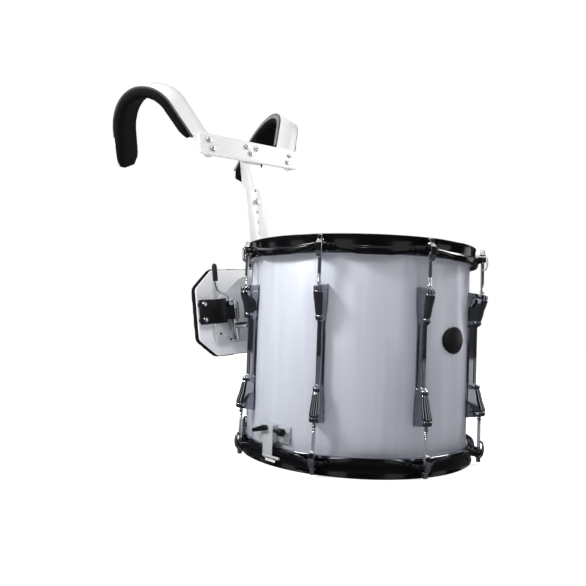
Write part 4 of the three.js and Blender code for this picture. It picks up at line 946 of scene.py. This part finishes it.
def makePiping(side, edge):
    padName = "shoulder_pad_right" if side < 0 else "shoulder_pad_left"
    line, sign = piping[edge], 1 if edge == "outer" else -1
    frames = armFrames(side)
    first, last = line["from"], frames[-1][3] - line["to"]
    loops = []
    for centre, way, out, walked in frames:
        if not first <= walked <= last:
            continue
        past = mix(*line["past"], (walked - first) / (last - first))
        middle = centre + way * (sign * (arm["width"] / 2 + past) - arm["shift"]) + out * line["lift"]
        turns = spread(25, 0, 2 * math.pi)[:-1]
        loops.append([middle + way * line["across"] * math.cos(t) + out * line["tall"] * math.sin(t) for t in turns])
    piece = skin(f"piping_{edge}_{padName[13:]}", loops, False, onCarrier)
    placed(piece, pipingFinish, body=bodyOf(padName), slot=slotOf[padName])


for side in (-1, 1):
    makeArm(side)
    makePiping(side, "outer")
    makePiping(side, "inner")
print("plates, post, yoke and arms made")

for node, material, width in (
    ("bracket_right", blackPaint, 0.7), ("bracket_left", blackPaint, 0.7),
    ("handle_grip_right", rubber, 0.6), ("handle_grip_left", rubber, 0.6),
):
    dressed(node, material, width)

# Two bright bolts hold each bracket, and three dark screws sit in the pan below the right one.
bolts = {"across": 152, "heights": (21, -6), "seat": -13, "radius": 5.4, "high": 4.4}
panScrews = {"places": [(-117.5, -32.5), (-102, -38.5), (-96, -44)], "seat": -8, "radius": 2.2, "high": 1.6}
for side in (-1, 1):
    for row, z in enumerate(bolts["heights"]):
        name = f"bracket_bolt_{'right' if side < 0 else 'left'}_{row + 1}"
        head = domeHead(name, side * bolts["across"], z, bolts["seat"], bolts["radius"], bolts["high"])
        placed(head, steel, body=bodyOf("bracket_right"), slot="carrier_steel")
for row, (x, z) in enumerate(panScrews["places"]):
    head = domeHead(f"pan_screw_{row + 1}", x, z, panScrews["seat"], panScrews["radius"], panScrews["high"])
    placed(head, blackPaint, body=bodyOf("mount_plate"), slot="carrier_steel")

hanger = {"x": 92.5, "y": -20, "radius": 7.25, "top": 25.7, "bottom": -45, "armZ": -20, "armRadius": 5.8, "reach": 44, "bend": 8,
          "tip": 4, "tipRise": 26}
handle = {"hubX": 110, "hubZ": 22, "plane": -32.7, "hub": 6, "rod": 2.1, "bendZ": 34, "side": 139, "turnZ": 48, "top": 86.5}


def makeHanger(side):
    drop = 16.2 if side > 0 else 0
    x, y, r = side * hanger["x"], hanger["y"], hanger["radius"]
    upright = [(r - 0.8, hanger["bottom"]), (r, hanger["bottom"] + 0.8), (r, hanger["top"] - 5)]
    upright += [(r * math.cos(t), hanger["top"] - 5 + 5 * math.sin(t)) for t in spread(8, 0, math.radians(86))[1:]]
    loops = [[Vector((x + q * math.cos(t), y + q * math.sin(t), z - drop)) for t in spread(33, 0, 2 * math.pi)[:-1]] for q, z in upright]
    rod = skin("upright", loops, False, onCarrier)
    front, z, bend = y - hanger["reach"], hanger["armZ"] - drop, hanger["bend"]
    corner = [(x, front + bend * (1 - math.sin(t)), z + bend * (1 - math.cos(t))) for t in spread(9, 0, math.pi / 2)]
    reach = tube("reach", [(x, y, z), (x, front + 3 * bend, z), (x, front + 2 * bend, z)] + corner, hanger["armRadius"], 28)
    q, rise = hanger["tip"], hanger["tipRise"]
    tipHeights = [(5.8, bend - 0.2), (5.4, bend + 0.6), (q, bend + 1.4), (q, rise - 2.2), (3.1, rise - 0.7), (1.6, rise)]
    tip = tube("tip", [(x, front, z + up) for q, up in tipHeights], [q for q, up in tipHeights], 28)
    name = "hanger_right" if side < 0 else "hanger_left"
    piece = joinPieces("fine_" + name, [rod, reach, tip])
    piece.data.set_sharp_from_angle(angle=math.radians(40))
    return placed(piece, chrome, name)


def makeHandle(side):
    plane, r = handle["plane"], handle["hub"]
    outline = [(r - 0.6, -28.3), (r, -28.9), (r, plane - 2.4), (r - 0.6, plane - 3), (2.6, plane - 3), (2.4, plane - 2), (0.1, plane - 2)]
    hub = turnedAcross("hub", outline, side * handle["hubX"], handle["hubZ"])
    path = curvePoints([
        (side * handle["hubX"], plane, handle["hubZ"]), (side * (handle["hubX"] + 6), plane, handle["bendZ"]),
        (side * (handle["side"] - 6), plane, handle["turnZ"] - 6), (side * handle["side"], plane, handle["turnZ"] + 6),
        (side * handle["side"], plane, handle["top"]),
    ])
    rod = tube("crank", path, handle["rod"], 20)
    name = "clamp_handle_right" if side < 0 else "clamp_handle_left"
    return placed(joinPieces("fine_" + name, [hub, rod]), chrome, name)


for side in (-1, 1):
    makeHanger(side)
    makeHandle(side)
print("brackets, hangers and handles made")


# Soft pads: the solid's skin is filled like a cushion, then smoothed.
def makePad(node, grid, grow, swell, limit, rounds):
    piece = bpy.data.objects.new("soft_" + node, nodes[node].data.copy())
    bpy.context.scene.collection.objects.link(piece)
    bpy.context.view_layer.objects.active = piece
    shape = piece.modifiers.new("even", "REMESH")
    shape.mode = "VOXEL"
    shape.voxel_size = grid * mm
    bpy.ops.object.modifier_apply(modifier="even")
    ways = [v.normal.copy() for v in piece.data.vertices]
    rest = [v.co + way * grow * mm for v, way in zip(piece.data.vertices, ways)]
    for vertex, place, way in zip(piece.data.vertices, rest, ways):
        vertex.co = place - way * swell * mm
    cloth = piece.modifiers.new("fill", "CLOTH")
    cloth.settings.use_pressure = True
    cloth.settings.uniform_pressure_force = 4
    cloth.settings.effector_weights.gravity = 0
    cloth.settings.tension_stiffness = 30
    cloth.settings.compression_stiffness = 30
    cloth.settings.bending_stiffness = 2
    cloth.point_cache.frame_start = 1
    cloth.point_cache.frame_end = 20
    for number in range(1, 21):
        bpy.context.scene.frame_set(number)
    filled = piece.evaluated_get(bpy.context.evaluated_depsgraph_get())
    moved = [v.co.copy() for v in filled.data.vertices]
    piece.modifiers.remove(cloth)
    bpy.context.scene.frame_set(1)
    for vertex, start, end in zip(piece.data.vertices, rest, moved):
        way = end - start
        vertex.co = start + way * min(1, limit * mm / max(way.length, 1e-9))
    soften = piece.modifiers.new("soften", "SMOOTH")
    soften.iterations = rounds
    fine = piece.modifiers.new("smooth", "SUBSURF")
    fine.levels = 1
    fine.render_levels = 1
    for face in piece.data.polygons:
        face.use_smooth = True
    placed(piece, foam, node)
    return piece


makePad("shoulder_pad_right", 3.5, 1.2, 0.8, 1.5, 6)
makePad("shoulder_pad_left", 3.5, 1.2, 0.8, 1.5, 6)
makePad("belly_foam", 4, 1.8, 0.6, 0.8, 0)
print("pads made")


# Floor, light and camera

floorLift = 0.76  # lifts the lit floor to the white of the backdrop and keeps the shadow
floor = makeMesh("floor", [(-6, -6, -0.0006), (6, -6, -0.0006), (6, 6, -0.0006), (-6, 6, -0.0006)], [(0, 1, 2, 3)])
floorMaterial, tree, shader = newMaterial("pale floor")
# Pale to the camera and to light, near black in mirrored rays: a painted dark reflection that darkens the plated parts.
seenFloor = addNode(tree, "LightPath")
floorColourBlackInMirrors = blendColour(tree, seenFloor.outputs["Is Glossy Ray"], (0.86, 0.86, 0.86), (0.04, 0.04, 0.045))
tree.links.new(floorColourBlackInMirrors, shader.inputs["Base Color"])
shader.inputs["Roughness"].default_value = 0.9
shader.inputs["Emission Color"].default_value = (1, 1, 1, 1)
tree.links.new(mathNode(tree, "MULTIPLY", seenFloor.outputs["Is Camera Ray"], floorLift), shader.inputs["Emission Strength"])
floor.data.materials.append(floorMaterial)

skyLevels = {"diffuse": 0.3, "mirrored": 1}
world = bpy.data.worlds.new("studio")
bpy.context.scene.world = world
world.use_nodes = True
sky = world.node_tree
backdrop = sky.nodes["Background"]
rays = addNode(sky, "LightPath")
seen = mathNode(sky, "MAXIMUM", rays.outputs["Is Camera Ray"], rays.outputs["Is Transmission Ray"])
mirrored = mathNode(sky, "MULTIPLY", rays.outputs["Is Glossy Ray"], skyLevels["mirrored"] - skyLevels["diffuse"])
strength = mathNode(sky, "ADD", mathNode(sky, "MULTIPLY", seen, 1 - skyLevels["diffuse"]), mirrored)
sky.links.new(mathNode(sky, "ADD", strength, skyLevels["diffuse"]), backdrop.inputs["Strength"])
backdrop.inputs["Color"].default_value = (1, 1, 1, 1)


def softbox(name, place, target, size, power):
    lamp = bpy.data.lights.new(name, "AREA")
    lamp.shape = "RECTANGLE"
    lamp.size, lamp.size_y = size
    lamp.energy = power
    box = bpy.data.objects.new(name, lamp)
    bpy.context.scene.collection.objects.link(box)
    box.location = place
    box.rotation_euler = (Vector(target) - Vector(place)).to_track_quat("-Z", "Y").to_euler()


softbox("key", (-1.7, 0.5, 1.5), (0, -0.1, 0.2), (0.45, 0.45), 38)
softbox("rim", (1.4, -0.8, 1.3), (0, 0, 0.2), (0.5, 0.5), 19)
softbox("rear", (-0.3, 1.9, 1.6), (0, 0, 0.4), (1.4, 0.7), 6)


# A narrow lamp on the carrier alone, past the drum's side.
def spotlight(name, place, target, cone, power):
    lamp = bpy.data.lights.new(name, "SPOT")
    lamp.spot_size = math.radians(cone)
    lamp.spot_blend = 0.5
    lamp.shadow_soft_size = 0.15
    lamp.energy = power
    spot = bpy.data.objects.new(name, lamp)
    bpy.context.scene.collection.objects.link(spot)
    spot.location = place
    spot.rotation_euler = (Vector(target) - Vector(place)).to_track_quat("-Z", "Y").to_euler()


spotlight("carrier light", (-1.45, -1.45, 1.7), (-0.2, 0.1, 0.36), 19, 74)


wallRadius = 3.2


# Dark walls round the set, seen only by reflections; the gaps between them show as bright lines in plated parts.
def darkWall(name, first, last, low, high):
    turns = spread(9, first, last)
    points = [around(turn, wallRadius, height) for height in (low, high) for turn in turns]
    faces = [(i, i + 1, i + 1 + len(turns), i + len(turns)) for i in range(len(turns) - 1)]
    wall = makeMesh(name, points, faces)
    wall.visible_camera = False
    wall.visible_diffuse = False
    wall.visible_shadow = False
    wall.data.materials.append(wallMaterial)


wallMaterial, tree, shader = newMaterial("dark wall")
shader.inputs["Base Color"].default_value = (0.015, 0.015, 0.018, 1)
shader.inputs["Roughness"].default_value = 1
walls = ((-104, -71), (-55, -21), (-5, 24), (40, 64), (80, 114), (130, 174), (182, 212), (220, 242))
for number, (first, last) in enumerate(walls):
    darkWall(f"wall {number}", first, last, 0.02, 3.6)

view = {"place": (-762.8, -602.5, 210.7), "forward": (0.70968, 0.70322, 0.04323), "right": (0.70387, -0.71033, 0), "roll": 0.0366836, "lens": 35.63}


def makeCamera():
    forward, right = Vector(view["forward"]).normalized(), Vector(view["right"]).normalized()
    up = right.cross(forward)
    c, s = math.cos(view["roll"]), math.sin(view["roll"])
    right, up = right * c + up * s, up * c - right * s
    data = bpy.data.cameras.new("camera")
    data.lens = view["lens"]
    data.sensor_width = 36
    data.clip_start = 0.01
    camera = bpy.data.objects.new("camera", data)
    bpy.context.scene.collection.objects.link(camera)
    camera.matrix_world = Matrix((
        (right.x, up.x, -forward.x, 0), (right.y, up.y, -forward.y, 0), (right.z, up.z, -forward.z, 0), (0, 0, 0, 1),
    ))
    camera.location = onDrum(view["place"])
    bpy.context.scene.camera = camera


makeCamera()
bpy.context.scene.view_settings.view_transform = "Standard"
print("floor, light and camera made")
